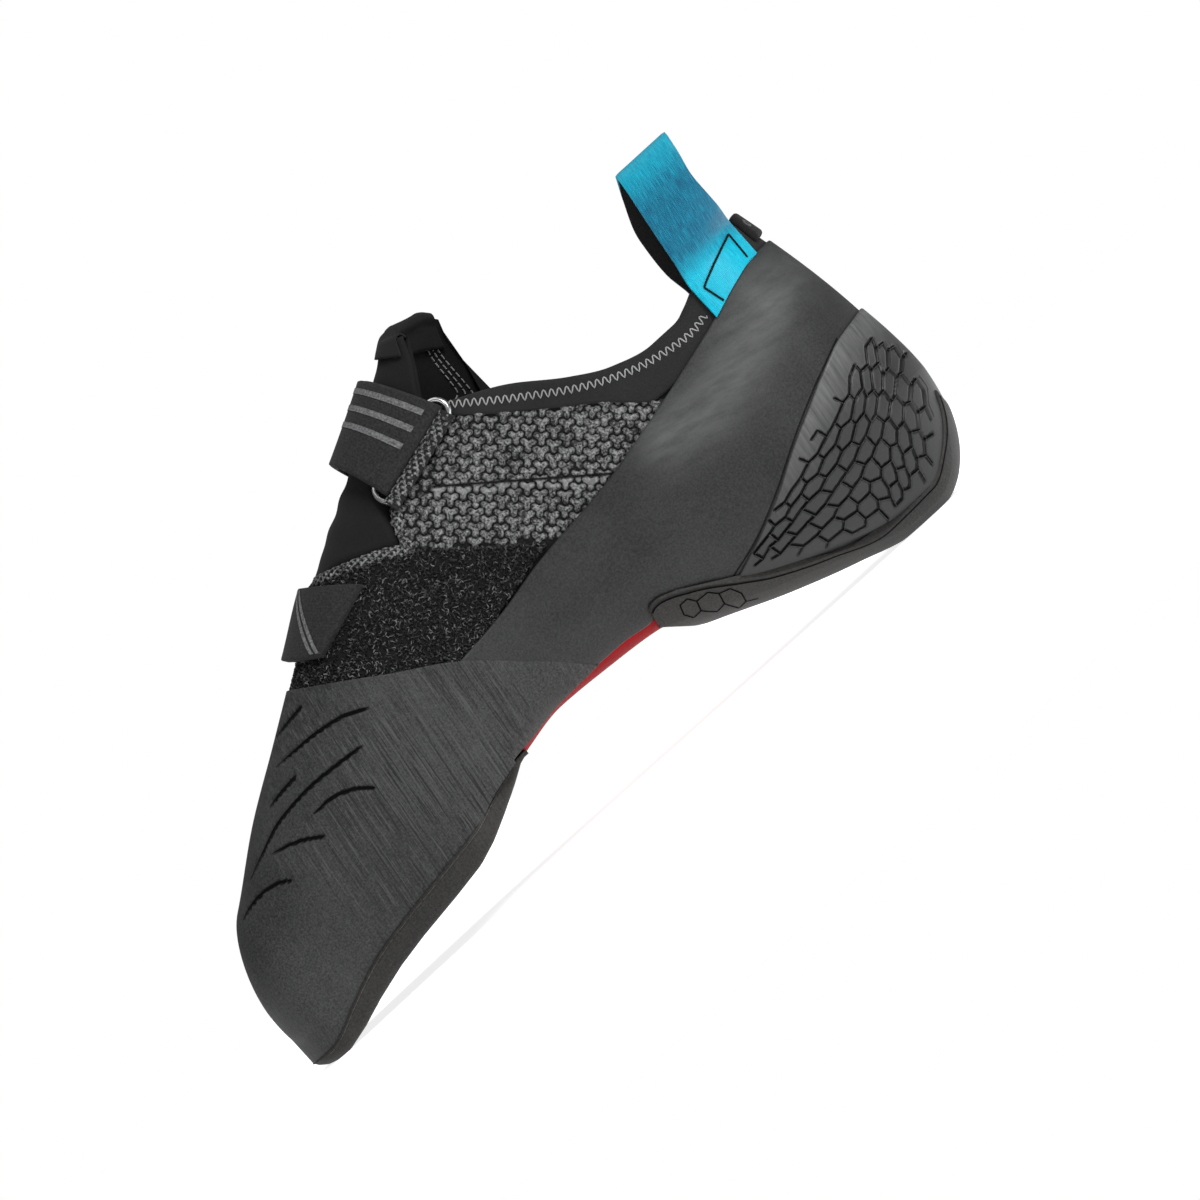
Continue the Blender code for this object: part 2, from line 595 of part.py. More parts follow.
def add_straps(webbing, tape):
    upper = (UPPER_STRAP_OUTLINE, UPPER_STRAP_LATERAL)
    lower = (LOWER_STRAP_OUTLINE, LOWER_STRAP_LATERAL)
    add_strap("upper_strap", upper, UPPER_STRAP_DEPTH, UPPER_STRAP_THICK, webbing)
    add_strap("lower_strap", lower, LOWER_STRAP_DEPTH, LOWER_STRAP_THICK, webbing)
    add_skin("heel_tab", BINDING_OVER + GAP, BINDING_OVER + 0.0018, HEEL_TAB, tape, (-0.007, 0.007))


def main():
    for item in list(bpy.data.objects):
        bpy.data.objects.remove(item)
    knit = paint("knit", (0.05, 0.05, 0.05), 0.95)
    board = paint("board", (0.10, 0.10, 0.10), 0.90)
    red = paint("red_plate", (0.45, 0.02, 0.02), 0.50)
    sole_rubber = paint("sole_rubber", (0.04, 0.037, 0.035), 0.60)
    rand_rubber = paint("rand_rubber", (0.06, 0.062, 0.06), 0.55)
    cup_rubber = paint("cup_rubber", (0.03, 0.03, 0.03), 0.50)
    pile = paint("pile", (0.01, 0.01, 0.01), 1.0)
    textile = paint("textile", (0.015, 0.015, 0.016), 0.85)
    stretch = paint("stretch", (0.012, 0.012, 0.013), 0.80)
    webbing = paint("webbing", (0.045, 0.046, 0.048), 0.75)
    steel = paint("steel", (0.55, 0.55, 0.56), 0.25, 1.0)
    azure = paint("azure_tape", (0.0, 0.22, 0.44), 0.45)

    add_upper(knit)
    add_insole(board)
    add_bottom(red, sole_rubber)
    add_rubber(rand_rubber, cup_rubber)
    add_textiles(pile, textile)
    add_tongue(stretch, textile)
    add_straps(webbing, textile)
    add_ring(steel)
    add_pull_loop(azure)


main()
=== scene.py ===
"""Looks of a downturned climbing shoe: rubber, knit, pile, tape and wire over its solid parts."""

import math

import bmesh
import bpy
import numpy as np
from bpy.props import FloatProperty, FloatVectorProperty, IntProperty, PointerProperty
from mathutils import Matrix, Vector


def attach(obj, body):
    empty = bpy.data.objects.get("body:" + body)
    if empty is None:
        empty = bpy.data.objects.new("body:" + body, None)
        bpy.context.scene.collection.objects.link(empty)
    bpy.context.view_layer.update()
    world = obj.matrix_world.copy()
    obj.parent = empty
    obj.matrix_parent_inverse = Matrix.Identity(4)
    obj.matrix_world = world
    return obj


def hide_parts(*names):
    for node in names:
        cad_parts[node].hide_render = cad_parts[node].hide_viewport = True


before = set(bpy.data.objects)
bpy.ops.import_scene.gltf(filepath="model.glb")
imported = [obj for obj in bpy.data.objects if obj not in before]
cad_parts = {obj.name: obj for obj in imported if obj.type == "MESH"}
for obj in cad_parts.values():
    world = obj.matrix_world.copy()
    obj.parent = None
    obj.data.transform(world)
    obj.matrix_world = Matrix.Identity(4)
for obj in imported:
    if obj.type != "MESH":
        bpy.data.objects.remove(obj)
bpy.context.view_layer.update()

bl_info = {
    "name": "Climbing Shoe Looks",
    "version": (1, 0, 0),
    "blender": (4, 5, 0),
    "location": "3D View > Sidebar > Shoe",
    "description": "Lays rubber, knit, pile, tapes, thread and wire over a climbing shoe's solid parts",
    "category": "Object",
}

# Side view millimetres: x runs from the toe tip to the heel, z up from the floor.
MM = 0.001
CENTRE = np.array([125.2, -0.7, 0.0])
MEDIAL, LATERAL = -1, 1
SIDES = (MEDIAL, LATERAL)

# Right and up in the rolled view, as side view directions, and the camera's turn, distance and aim.
VIEW_RIGHT, VIEW_UP = np.array([0.7396, -0.6731]), np.array([0.6731, 0.7396])
CAMERA_ROLL, CAMERA_LIFT = math.radians(42.3), math.radians(0.6)
CAMERA_DISTANCE, SENSOR = 1.6, 36
CAMERA_AIM = (0.0176, -0.02, 0.0439)

# Sections of the last in millimetres, with how square each corner of the section is.
SECTION_COLUMNS = (
    "x", "bottom", "wide", "top", "medial", "lateral",
    "keel", "ridge", "edge", "crown_in", "crown_out",
)
LAST_SECTIONS = (
    (5.0, 7.5, 18, 36, -31.2, 4.0, -14.4, -15.2, 6.0, 2.6, 2.0),
    (17.0, 9.2, 20, 44.5, -33.6, 16.0, -11.2, -16.8, 7.0, 2.6, 2.0),
    (35.0, 14.6, 26, 58.6, -37.6, 27.2, -7.2, -16.8, 8.0, 2.5, 1.9),
    (53.0, 18.2, 31, 70.5, -39.2, 34.4, -3.2, -15.2, 8.0, 2.4, 1.8),
    (72.2, 21.2, 36, 83.5, -40.0, 38.4, -0.8, -12.8, 8.0, 2.3, 1.8),
    (86.6, 26.0, 42, 94, -37.6, 39.2, 0.8, -10.4, 6.5, 2.2, 1.8),
    (101.0, 30.6, 48, 103, -32.8, 38.4, 4.0, -8.8, 5.0, 2.1, 1.8),
    (115.4, 33.0, 52, 111, -28.8, 36.0, 5.6, -6.4, 4.5, 2.1, 1.9),
    (134.6, 32.0, 54, 123, -26.4, 32.8, 5.6, -4.0, 4.0, 2.1, 2.0),
    (149.0, 30.6, 53, 133, -25.6, 31.2, 4.8, -2.4, 4.0, 2.1, 2.0),
    (165.8, 24.4, 50, 145, -25.6, 29.6, 3.2, -0.8, 3.6, 2.1, 2.1),
    (185.0, 16.6, 47, 152, -26.4, 28.0, 1.6, 0.0, 3.2, 2.1, 2.1),
    (204.2, 10.2, 44, 154, -26.4, 27.2, 0.8, 0.0, 3.0, 2.1, 2.1),
    (221.0, 6.0, 42, 148, -24.8, 25.6, 0.0, 0.0, 2.8, 2.1, 2.1),
    (228.2, 5.9, 41, 129, -24.0, 24.0, 0.0, 0.0, 2.7, 2.1, 2.1),
    (235.4, 5.8, 40, 106, -22.4, 22.4, 0.0, 0.0, 2.6, 2.1, 2.1),
    (245.0, 4.0, 40, 88, -18.4, 18.4, 0.0, 0.0, 2.5, 2.1, 2.1),
)
TOE_NOSE = {"x": 5.0, "y": -15.0, "z": 16.5, "plan": 11.5, "above": 11.0, "below": 4.5}
HEEL_NOSE = {"x": 245.0, "y": 0.0, "z": 40.0, "plan": 20.0, "above": 16.5, "below": 18.0}

# Depth of the layers above the last, and a few thicknesses and radii, in millimetres. Glued skins start at
# UNDER.
UPPER_TOP = 2.0
UNDER = 2.3
RAND_TOP = 4.2
TOE_PATCH_TOP = 4.4
HEEL_CUP_TOP = 5.0
HEEL_SOLE_TOP = 6.8
PLATE_TOP = 3.6
OUTSOLE_SIDE = 4.9
HEEL_SOLE_FLANK = 1.5
BINDING_TOP, BINDING_TUCK = 3.2, 0.4
PILE_TOP = 3.2
TONGUE_WALL = 2.0
RING_HEIGHT, RING_WIRE, RING_CORNER = 5.3, 0.95, 3.0
HEEL_TAB_UNDER, HEEL_TAB_TOP = 3.5, 5.2

# Step of the tone from one copy of a repeated shape to the next.
GOLDEN_SHARE = 0.6180339887

# Points on one side of a wrapped row: along it to the last's outline, and down a section to its bottom.
ROW_SAMPLES = 260
CROSS_SAMPLES = 120

# Places and lines drawn on the side of the shoe.
OUTSOLE_END, TOE_PATCH_RIDGE = 99.0, 66.0
OUTSOLE_UNDERSIDE = (
    (0.2, 6.2), (0.9, 4.0), (2.3, 2.0), (4.4, 0.6), (7.2, 0), (12, 0), (20, 2.0), (28, 4.8), (38, 7.6),
    (48, 9.5), (62, 11.5), (72, 13.2), (79, 15.7), (86, 19.2), (93, 23.0), (98.5, 26.4),
)
OUTSOLE_TOP_EDGE = (
    (-4, 3.6), (3, 3.6), (9, 3.9), (14, 5.4), (21, 8.7), (35, 14.0), (47, 16.6), (61.5, 18.9), (77.5, 21.6),
    (88, 25.4), (98.5, 27.9),
)
ARCH_EDGE = ((106, 30.0), (115, 31.8), (131, 32.8), (140, 32.4), (150.5, 30.2))
HEEL_SOLE_EDGE = (
    (150.0, 29.5), (150.6, 32.2), (153.0, 33.2), (162.5, 29.5), (174, 21.9), (181, 17.4), (196.5, 10.5),
    (214, 5.0), (230, 5.6), (239, 11.0), (245.6, 18.2), (248.8, 24.6),
)
HEEL_SOLE_UNDERSIDE = (
    (148, 28.4), (150.5, 27.0), (157, 21.4), (165, 16.2), (180, 9.8), (196, 4.6), (214, 0), (256, 0),
)
TOE_PATCH_EDGE = ((132.3, 31.2), (118, 44.4), (104, 57.4), (90, 66.3), (74, 76.6))
RAND_EDGE = (
    (104, 57.4), (120, 59.1), (138, 62.8), (163, 65.9), (190, 71.9), (216, 79.1), (231, 84.6),
)
RAND_ARCH = ((129.6, 31.1), (140, 30.9), (149.6, 29.8), (152.6, 31.6), (156, 31.2), (165, 27.4))
# Line of the rand's painted highlight.
RAND_PAINTED_HIGHLIGHT = ((186, 64), (198, 63), (210, 65), (222, 70), (232, 74))
HEEL_CUP_EDGE = ((173.5, 23.8), (184, 26.8), (196, 32.1), (211, 40.4), (224, 46.8), (238, 52.6))
COLLAR_EDGE = (
    (146.5, 111), (161.5, 103.4), (177, 92.4), (187, 87.0), (199, 84.0), (207, 84.0), (214.5, 86.3),
    (223, 90.5), (231, 93.5),
)
BINDING_EDGE = (
    (144.5, 109.5), (161, 96), (178.5, 83.2), (191, 73.6), (204, 73.0), (218, 78.0), (231, 82.5),
)
ZIGZAG_LINE = ((147.3, 111), (163.6, 98.8), (182.3, 87.2), (196.1, 82.3), (209, 80.5), (215.6, 81.7))
THROAT_EDGE = ((86.5, 106), (89.3, 97.4), (100.7, 93.9), (114, 87.7), (115.5, 96), (119.5, 103.6))
KNIT_EDGE = ((142.8, 65.0), (126.3, 77.9), (114, 87.7))
THROAT_TOP = ((118.0, 101.5), (146.4, 110.5))
PILE_FRONT = ((105.4, 55.6), (90.2, 64.6), (74.0, 74.8))
RING_ENDS = ((118.0, 100.9), (147.8, 110.4))
KNIT_CREASE = ((127.8, 98.8), (136.0, 90.9), (146.0, 83.9), (157.0, 75.3), (169.0, 66.4))

# Rolled hems of the throat, from the toe up to the collar.
TOE_HEM = ((87.2, 99.6), (94, 97.4), (101, 94.9), (108, 92.0), (113.8, 88.4))
CORNER_HEM = ((113.8, 87.6), (115.6, 93.4), (118.4, 99.4))
STRAP_HEM = ((118.2, 100.4), (127, 102.9), (136, 105.6), (146.4, 109.0))

# Rows of the tongue: its medial end, the ridge between, and its lateral end.
TONGUE_ROWS = (
    (86, 95, 85, 86, 95), (97, 92.5, 93, 97, 92.5), (107, 88.5, 101, 107, 88.5),
    (113.5, 85.5, 107, 113.5, 85.5), (117, 93, 112, 117, 93), (120.5, 101, 117, 120.5, 101),
    (131, 104, 125, 133, 103), (142, 107, 133, 151, 102), (143.5, 115.2, 138.5, 160, 105),
    (149.5, 125, 143.2, 159.5, 121), (152.5, 131.2, 146.8, 161.5, 129.6),
)

# Straps: ends on both sides and x on the ridge at both edges, depth along the strap, how far the rear edge
# sags, the depth that its medial end is drawn at, and the radius of the fold there.
UPPER_STRAP = {
    "medial": ((118.9, 104.2), (146.2, 111.8)), "ridge": (117.5, 139.0), "lateral": ((122, 91), (150, 98)),
    "depth": ((0, 6.0), (0.25, 6.7), (0.45, 6.9), (0.62, 6.5), (0.8, 4.5), (1, 2.6)),
    "sag": 1.9, "seat": 8.9, "fold": 2.2,
}
LOWER_STRAP = {
    "medial": ((76.9, 83.8), (98.4, 90.5)), "ridge": (72.2, 88.4), "lateral": ((77, 79), (97, 81)),
    "depth": ((0, 3.9), (0.2, 4.6), (0.5, 5.8), (0.75, 4.4), (1, 2.6)),
    "sag": 0.3, "seat": 6.2, "fold": 0.5,
}
TAPE_LAYER, FACING_LAYER, LOWER_LAYER = (0.3, 1.5), (1.6, 2.9), (0.3, 2.3)

# Cut grooves of the toe patch, drawn on its side.
TOE_GROOVES = (
    ((64.5, 76.9), (59.1, 76.3), (53.4, 75.4)),
    ((78.2, 64.4), (69.7, 67.8), (58.8, 69.2), (48.0, 69.4)),
    ((70.5, 58.0), (61.5, 58.9), (52.3, 59.4), (40.2, 58.2), (29.6, 54.5), (22.7, 51.6)),
    ((51.1, 64.1), (45.1, 63.5), (39.5, 62.5)),
    ((65.3, 47.2), (59.6, 51.5), (52.9, 53.4), (46.7, 53.3)),
    ((46.5, 46.8), (39.6, 50.8), (32.2, 53.0)),
    ((31.9, 44.1), (27.1, 46.4), (22.4, 46.9), (17.5, 46.2), (13.6, 44.8)),
)

# Cells of the heel cup in millimetres: right and down from a point in the rolled view.
CELL_ORIGIN = np.array([205.3, 96.5])
CELL_MIDDLE, CELL_WIDTH = 62.0, 3.3
CELL_ROWS = (5.0, 11.4, 18.0, 25.0, 31.8, 38.0, 43.6, 48.6, 53.2, 57.6, 61.8, 65.8, 69.6)
CELL_FIELD = (
    (63.0, 9.0), (69.0, 10.5), (74.0, 18.0), (78.0, 25.5), (79.2, 40.0), (76.0, 48.5), (68.5, 56.5),
    (57.5, 63.5), (43.0, 69.5), (30.0, 72.0), (32.0, 65.0), (36.5, 56.0), (42.5, 45.0), (45.5, 38.0),
    (52.0, 29.0), (57.0, 19.0),
)
HEEL_SOLE_CELLS = (
    (
        (15.0, 80.8), (12.5, 80.4), (10.5, 82.0), (11.4, 84.0), (14.0, 84.4), (16.0, 82.8), (15.0, 80.8),
        (18.0, 78.6),
    ),
    ((16.0, 82.8), (20.3, 82.8), (22.3, 80.8), (21.0, 78.7), (18.0, 78.6)),
    ((21.0, 78.7), (24.0, 77.4), (27.0, 78.2), (28.2, 80.0), (26.4, 81.8), (22.3, 80.8)),
    ((28.2, 80.0), (31.6, 79.2)),
)


def smooth_value(knots, values, x):
    """Shape-keeping cubic through the knots, level beyond both ends."""
    knots, values = np.asarray(knots, float), np.asarray(values, float)
    step = np.diff(knots)
    slope = np.diff(values) / step
    tangent = np.zeros(len(knots))
    same = slope[1:] * slope[:-1] > 0
    inner = 2 * slope[1:] * slope[:-1] / np.where(same, slope[1:] + slope[:-1], 1)
    tangent[1:-1] = np.where(same, inner, 0)
    tangent[0], tangent[-1] = slope[0], slope[-1]
    x = np.clip(x, knots[0], knots[-1])
    i = np.clip(np.searchsorted(knots, x) - 1, 0, len(step) - 1)
    t = (x - knots[i]) / step[i]
    rise = (3 - 2 * t) * t * t
    lead = t * (1 - t) ** 2 * tangent[i] - t * t * (1 - t) * tangent[i + 1]
    return values[i] + (values[i + 1] - values[i]) * rise + lead * step[i]


FINE_X = np.linspace(TOE_NOSE["x"], HEEL_NOSE["x"], 2401)
FINE_SECTIONS = {
    name: smooth_value([row[0] for row in LAST_SECTIONS], [row[k] for row in LAST_SECTIONS], FINE_X)
    for k, name in enumerate(SECTION_COLUMNS)
}


def column(name, x):
    """One measure of the last's sections at x."""
    return np.interp(x, FINE_X, FINE_SECTIONS[name])


def share(distance, reach):
    """Share of the full section that is left at a distance from a rounded end."""
    part = 1 - np.clip(distance / reach, 0, 1)
    return np.sqrt(np.maximum(1 - part * part, 1e-5))


def noses(x):
    """Both rounded ends of the last, with the distance of x from each."""
    return ((TOE_NOSE, x - TOE_NOSE["x"]), (HEEL_NOSE, HEEL_NOSE["x"] - x))


def heights(x):
    """Lowest and highest point of the last at x."""
    low, high = column("bottom", x), column("top", x)
    for nose, distance in noses(x):
        low = nose["z"] + (low - nose["z"]) * share(distance, nose["below"])
        high = nose["z"] + (high - nose["z"]) * share(distance, nose["above"])
    return low, high


def full_height(x, z):
    """Height before the section is drawn in towards a rounded end."""
    for nose, distance in noses(x):
        over, under = share(distance, nose["above"]), share(distance, nose["below"])
        z = nose["z"] + (z - nose["z"]) / np.where(z > nose["z"], over, under)
    return z


def on_last(line, side):
    """Points of the last's medial or lateral wall at side view places."""
    x, z = line[..., 0], line[..., 1]
    full = full_height(x, z)
    wide, ridge, keel = column("wide", x), column("ridge", x), column("keel", x)
    high = full > wide
    middle = np.where(high, ridge, keel)
    flank, crown = ("medial", "crown_in") if side == MEDIAL else ("lateral", "crown_out")
    power = np.where(high, column(crown, x), column("edge", x))
    reach = np.abs(np.where(high, column("top", x), column("bottom", x)) - wide)
    part = np.clip(np.abs(full - wide) / reach, 0, 1)
    y = middle + (column(flank, x) - middle) * (1 - part**power) ** (1 / power)
    for nose, distance in noses(x):
        y = nose["y"] + (y - nose["y"]) * share(distance, nose["plan"])
    return np.stack([x, y, z], axis=-1)


def excess(p):
    """1 on the last, more outside it."""
    x, y, z = p[..., 0], p[..., 1], p[..., 2]
    full = full_height(x, z)
    for nose, distance in noses(x):
        y = nose["y"] + (y - nose["y"]) / share(distance, nose["plan"])
    wide = column("wide", x)
    high = full > wide
    middle = np.where(high, column("ridge", x), column("keel", x))
    inner = y < middle
    across = np.abs((y - middle) / (np.where(inner, column("medial", x), column("lateral", x)) - middle))
    crown = np.where(inner, column("crown_in", x), column("crown_out", x))
    power = np.where(high, crown, column("edge", x))
    up = np.abs(full - wide) / np.abs(np.where(high, column("top", x), column("bottom", x)) - wide)
    return (across**power + up**power) ** (1 / power)


def outward(p):
    """Direction straight out of the last."""
    slope = []
    for k in range(3):
        step = np.zeros(3)
        step[k] = 0.06
        slope.append(excess(p + step) - excess(p - step))
    return unit(np.stack(slope, axis=-1))


def unit(vectors):
    """Vectors brought to length 1."""
    return vectors / np.maximum(np.linalg.norm(vectors, axis=-1, keepdims=True), 1e-12)


def eased(count):
    """Shares from 0 to 1 that lie closer together towards 1."""
    return 1 - (1 - np.linspace(0, 1, count)) ** 2


def run_along(points):
    """Length run along a row of points, from 0."""
    steps = np.linalg.norm(np.diff(points, axis=-2), axis=-1)
    return np.concatenate([np.zeros_like(steps[..., :1]), np.cumsum(steps, axis=-1)], axis=-1)


def run_across(grid):
    """Length run across a grid, from its first row."""
    return run_along(np.swapaxes(grid, 0, 1)).T


def read_along(run, values, at):
    """Columns of values, read at lengths of their run."""
    return np.stack([np.interp(at, run, values[:, k]) for k in range(values.shape[1])], axis=-1)


def traced(points, at):
    """Smooth line through a few points, read at shares of its length."""
    p = np.asarray(points, float)
    run = run_along(p)
    return np.stack([smooth_value(run / run[-1], p[:, k], at) for k in range(p.shape[1])], axis=-1)


def seated(points, depth, side=MEDIAL):
    """Line on the last that lies under a line drawn on a layer of some depth."""
    drawn = np.asarray(points, float)
    base = drawn.copy()
    for _ in range(24):
        base[..., 0] = np.clip(base[..., 0], TOE_NOSE["x"] + 0.2, HEEL_NOSE["x"] - 0.2)
        low, high = heights(base[..., 0])
        base[..., 1] = np.clip(base[..., 1], low + 0.05, high - 0.05)
        out = outward(on_last(base, side))
        base = 0.5 * base + 0.5 * (drawn - depth * out[..., [0, 2]])
    return base


def outline_reach(start, end):
    """How far a row can be stretched from its start before it leaves the last's side view."""
    near, far = np.full(start.shape[0], 0.4), np.full(start.shape[0], 1.8)
    for _ in range(40):
        half = (near + far) / 2
        p = start + (end - start) * half[:, None]
        low, high = heights(p[:, 0])
        within = (p[:, 1] > low) & (p[:, 1] < high)
        within &= (p[:, 0] > TOE_NOSE["x"]) & (p[:, 0] < HEEL_NOSE["x"])
        near, far = np.where(within, half, near), np.where(within, far, half)
    return near


def heel_back(z):
    """Place of the last's back outline at a height."""
    x = np.linspace(200, HEEL_NOSE["x"], 4000)
    low, high = heights(x)
    return float(x[np.nonzero((high > z) & (low < z))[0][-1]])


def ridge_at(x):
    """Side view place of the last's ridge."""
    return (x, float(heights(np.array([x]))[1][0]))


def rows_between(low, high, shares):
    """Side view rows from one edge to another, run out to the last's outline."""
    at = eased(ROW_SAMPLES)
    first, second = traced(low, at), traced(high, at)
    rows = first[None] + (second - first)[None] * np.asarray(shares)[:, None, None]
    start = rows[:, :1]
    stretch = outline_reach(rows[:, 0], rows[:, -1])[:, None, None]
    return start + (rows - start) * (1 + (stretch - 1) * (at**2)[None, :, None])


def columns_between(x, start, end, shares):
    """Side view rows straight up or down at each x, from one height to another."""
    z = start[:, None] + (end - start)[:, None] * shares
    return np.stack([np.repeat(x[:, None], len(shares), 1), z], axis=-1)


def lay(rows, count, lateral_rows=None, stop=None):
    """Even grid of points on the last along side view rows, over it to the lateral side or to a stop."""
    path = on_last(rows, MEDIAL)
    medial = path.shape[1]
    back = on_last(rows if lateral_rows is None else lateral_rows, LATERAL)
    path = np.concatenate([path, back[:, ::-1][:, 1:]], axis=1)
    run = run_along(path)
    grid = np.empty((len(rows), count, 3))
    for i in range(len(rows)):
        length = run[i, -1]
        if stop is not None:
            past = np.nonzero(path[i, medial:, 1] > stop)[0]
            length = run[i, medial + past[0]] if len(past) else length
        grid[i] = read_along(run[i], path[i], np.linspace(0, length, count))
    return grid


def lipped(count, width, lip=1.2):
    """Shares across a strip, closer together at both edges."""
    edge = np.array([0, 0.12, 0.3, 0.6]) * lip / width
    return np.concatenate([edge, np.linspace(lip / width, 1 - lip / width, count), 1 - edge[::-1]])


def rolled(distance, radius):
    """How far a rounded edge lies below its surface at a distance from the edge."""
    part = 1 - np.clip(distance / radius, 0, 1)
    return radius * (1 - np.sqrt(np.maximum(1 - part * part, 0)))


def edge_distance(grid, ends=False):
    """Distance of each grid point from the grid's nearest edge row, and from its ends."""
    across = run_across(grid)
    near = np.minimum(across, across[-1:] - across)
    if ends:
        along = run_along(grid)
        near = np.minimum(near, np.minimum(along, along[:, -1:] - along))
    return near


def line_distance(points, line):
    """Distance of side view points from a drawn line, and the share of its length there."""
    run = run_along(line)
    best = np.full(points.shape[:-1], 1e9)
    share_there = np.zeros(points.shape[:-1])
    for k in range(len(line) - 1):
        way = line[k + 1] - line[k]
        length = np.linalg.norm(way)
        part = np.clip(((points - line[k]) @ way) / length**2, 0, 1)
        gap = np.linalg.norm(points - line[k] - part[..., None] * way, axis=-1)
        closer = gap < best
        best = np.where(closer, gap, best)
        share_there = np.where(closer, (run[k] + part * length) / run[-1], share_there)
    return best, share_there


def inside_outline(points, outline):
    """Whether side view points lie inside a closed outline."""
    x, z = points[..., 0], points[..., 1]
    hit = np.zeros(x.shape, bool)
    for (x0, z0), (x1, z1) in zip(outline, [*outline[1:], outline[0]]):
        spans = (z0 > z) != (z1 > z)
        cross = x0 + (z - z0) * (x1 - x0) / (z1 - z0 if z1 != z0 else 1e-9)
        hit ^= spans & (x < cross)
    return hit


def cell_corner(column_at, row):
    """One corner of the cup's leaning cells, right and down in the rolled view."""
    right = CELL_MIDDLE + CELL_WIDTH * column_at
    right += 0.10 * max(column_at, 0) ** 2 - 0.16 * min(column_at, 0) ** 2
    right -= 0.42 * min(1.0, max(0.0, (67 - right) / 15)) * max(-4.0, CELL_ROWS[row] - 30)
    arch = math.hypot(right - CELL_MIDDLE, 4.0) - 4.0
    off = column_at - 0.5 * (row % 2)
    peak = 1.05 if abs(off - round(off)) < 0.1 else -1.05
    down = CELL_ROWS[row] + peak + arch * np.interp(row, [0, 4, 11], [0.5, 0.42, 0.24])
    aside = 0.35 * math.sin(column_at * 5.1 + row * 2.3)
    below = 0.4 * math.sin(column_at * 3.7 + row * 4.9)
    return np.array([right + aside, down + below])


def cup_cells():
    """Walls of the heel cup's cells, drawn on the side of the shoe."""
    walls = []
    for row in range(len(CELL_ROWS)):
        for step in range(-22, 28):
            corner = cell_corner(step / 2, row)
            walls.append((corner, cell_corner(step / 2 + 0.5, row)))
            if row + 1 < len(CELL_ROWS) and (step - row) % 2 == 0:
                walls.append((corner, cell_corner(step / 2, row + 1)))
    walls = np.array(walls)
    kept = inside_outline(walls.mean(axis=1), CELL_FIELD)
    return rolled_place(walls[kept])


def rolled_place(points):
    """Side view places of points measured right and down in the rolled view of the heel."""
    points = np.asarray(points, float)
    return CELL_ORIGIN + points[..., :1] * VIEW_RIGHT - points[..., 1:] * VIEW_UP


def wall_gap(points, walls):
    """Distance of side view points from the nearest of many straight walls."""
    best = np.full(points.shape[:-1], 9.0)
    for first, last in walls:
        near = np.abs(points - (first + last) / 2).max(axis=-1) < 6.0
        way = last - first
        here = points[near] - first
        part = np.clip(here @ way / (way @ way), 0, 1)
        best[near] = np.minimum(best[near], np.linalg.norm(here - part[..., None] * way, axis=-1))
    return best


def cup_depth(grid, out):
    """Depth of the heel cup's surface, fuller round the back of the heel."""
    back = np.clip((grid[..., 0] - 214) / 26, 0, 1) * (1 - out[..., 1] ** 2)
    return HEEL_CUP_TOP + 1.7 * back * np.clip((58 - grid[..., 2]) / 26, 0, 1)


def to_world(points):
    """Millimetres about the shoe's own zero as metres in the shared frame."""
    return (np.asarray(points) - CENTRE) * MM


def finish_piece(piece, material, nodes=(), sharp=45):
    """Gives a piece its finish, its ride and the solid parts that it stands for."""
    piece.data.materials.append(material)
    piece.data.shade_smooth()
    piece.data.set_sharp_from_angle(angle=math.radians(sharp))
    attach(piece, "root")
    if nodes:
        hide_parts(*nodes)


def new_piece(name, work):
    """Mesh object from a bmesh, at the origin."""
    mesh = bpy.data.meshes.new(name)
    work.to_mesh(mesh)
    work.free()
    piece = bpy.data.objects.new(name, mesh)
    bpy.context.scene.collection.objects.link(piece)
    return piece


def grid_bmesh(points, uv=None, marks=None):
    """Grid moved onto rows of points, with its own map in millimetres and marks on its points."""
    rows, count = points.shape[:2]
    place = to_world(points)
    work = bmesh.new()
    bmesh.ops.create_grid(work, x_segments=count - 1, y_segments=rows - 1, size=1)
    uv_layer = work.loops.layers.uv.new("UVMap") if uv is not None else None
    mark_layers = {name: work.verts.layers.float.new(name) for name in (marks or {})}
    index = {}
    for vertex in work.verts:
        i = round((vertex.co.y + 1) / 2 * (rows - 1))
        j = round((vertex.co.x + 1) / 2 * (count - 1))
        index[vertex] = (i, j)
        for name, layer in mark_layers.items():
            vertex[layer] = marks[name][i, j]
    for vertex, (i, j) in index.items():
        vertex.co = place[i, j]
    if uv_layer:
        for face in work.faces:
            for loop in face.loops:
                loop[uv_layer].uv = uv[index[loop.vert]]
    return work


def grid_map(grid):
    """Map of a grid in millimetres: along from its middle, and across."""
    along = run_along(grid)
    along = along - along[:, [grid.shape[1] // 2]]
    return np.stack([along, run_across(grid)], axis=-1)


def grid_spot(grid, i, j):
    """Point between the points of a grid, at parts of rows and columns."""
    a, b, s, t = int(i), int(j), i % 1, j % 1
    low = (1 - t) * grid[a, b] + t * grid[a, b + 1]
    high = (1 - t) * grid[a + 1, b] + t * grid[a + 1, b + 1]
    return (1 - s) * low + s * high


def sealed(work, merge=None):
    """Merges doubles within a distance, fills open edges and turns all faces outwards."""
    if merge:
        bmesh.ops.remove_doubles(work, verts=work.verts[:], dist=merge)
    bmesh.ops.holes_fill(work, edges=[edge for edge in work.edges if edge.is_boundary], sides=0)
    bmesh.ops.recalc_face_normals(work, faces=work.faces[:])
    return work


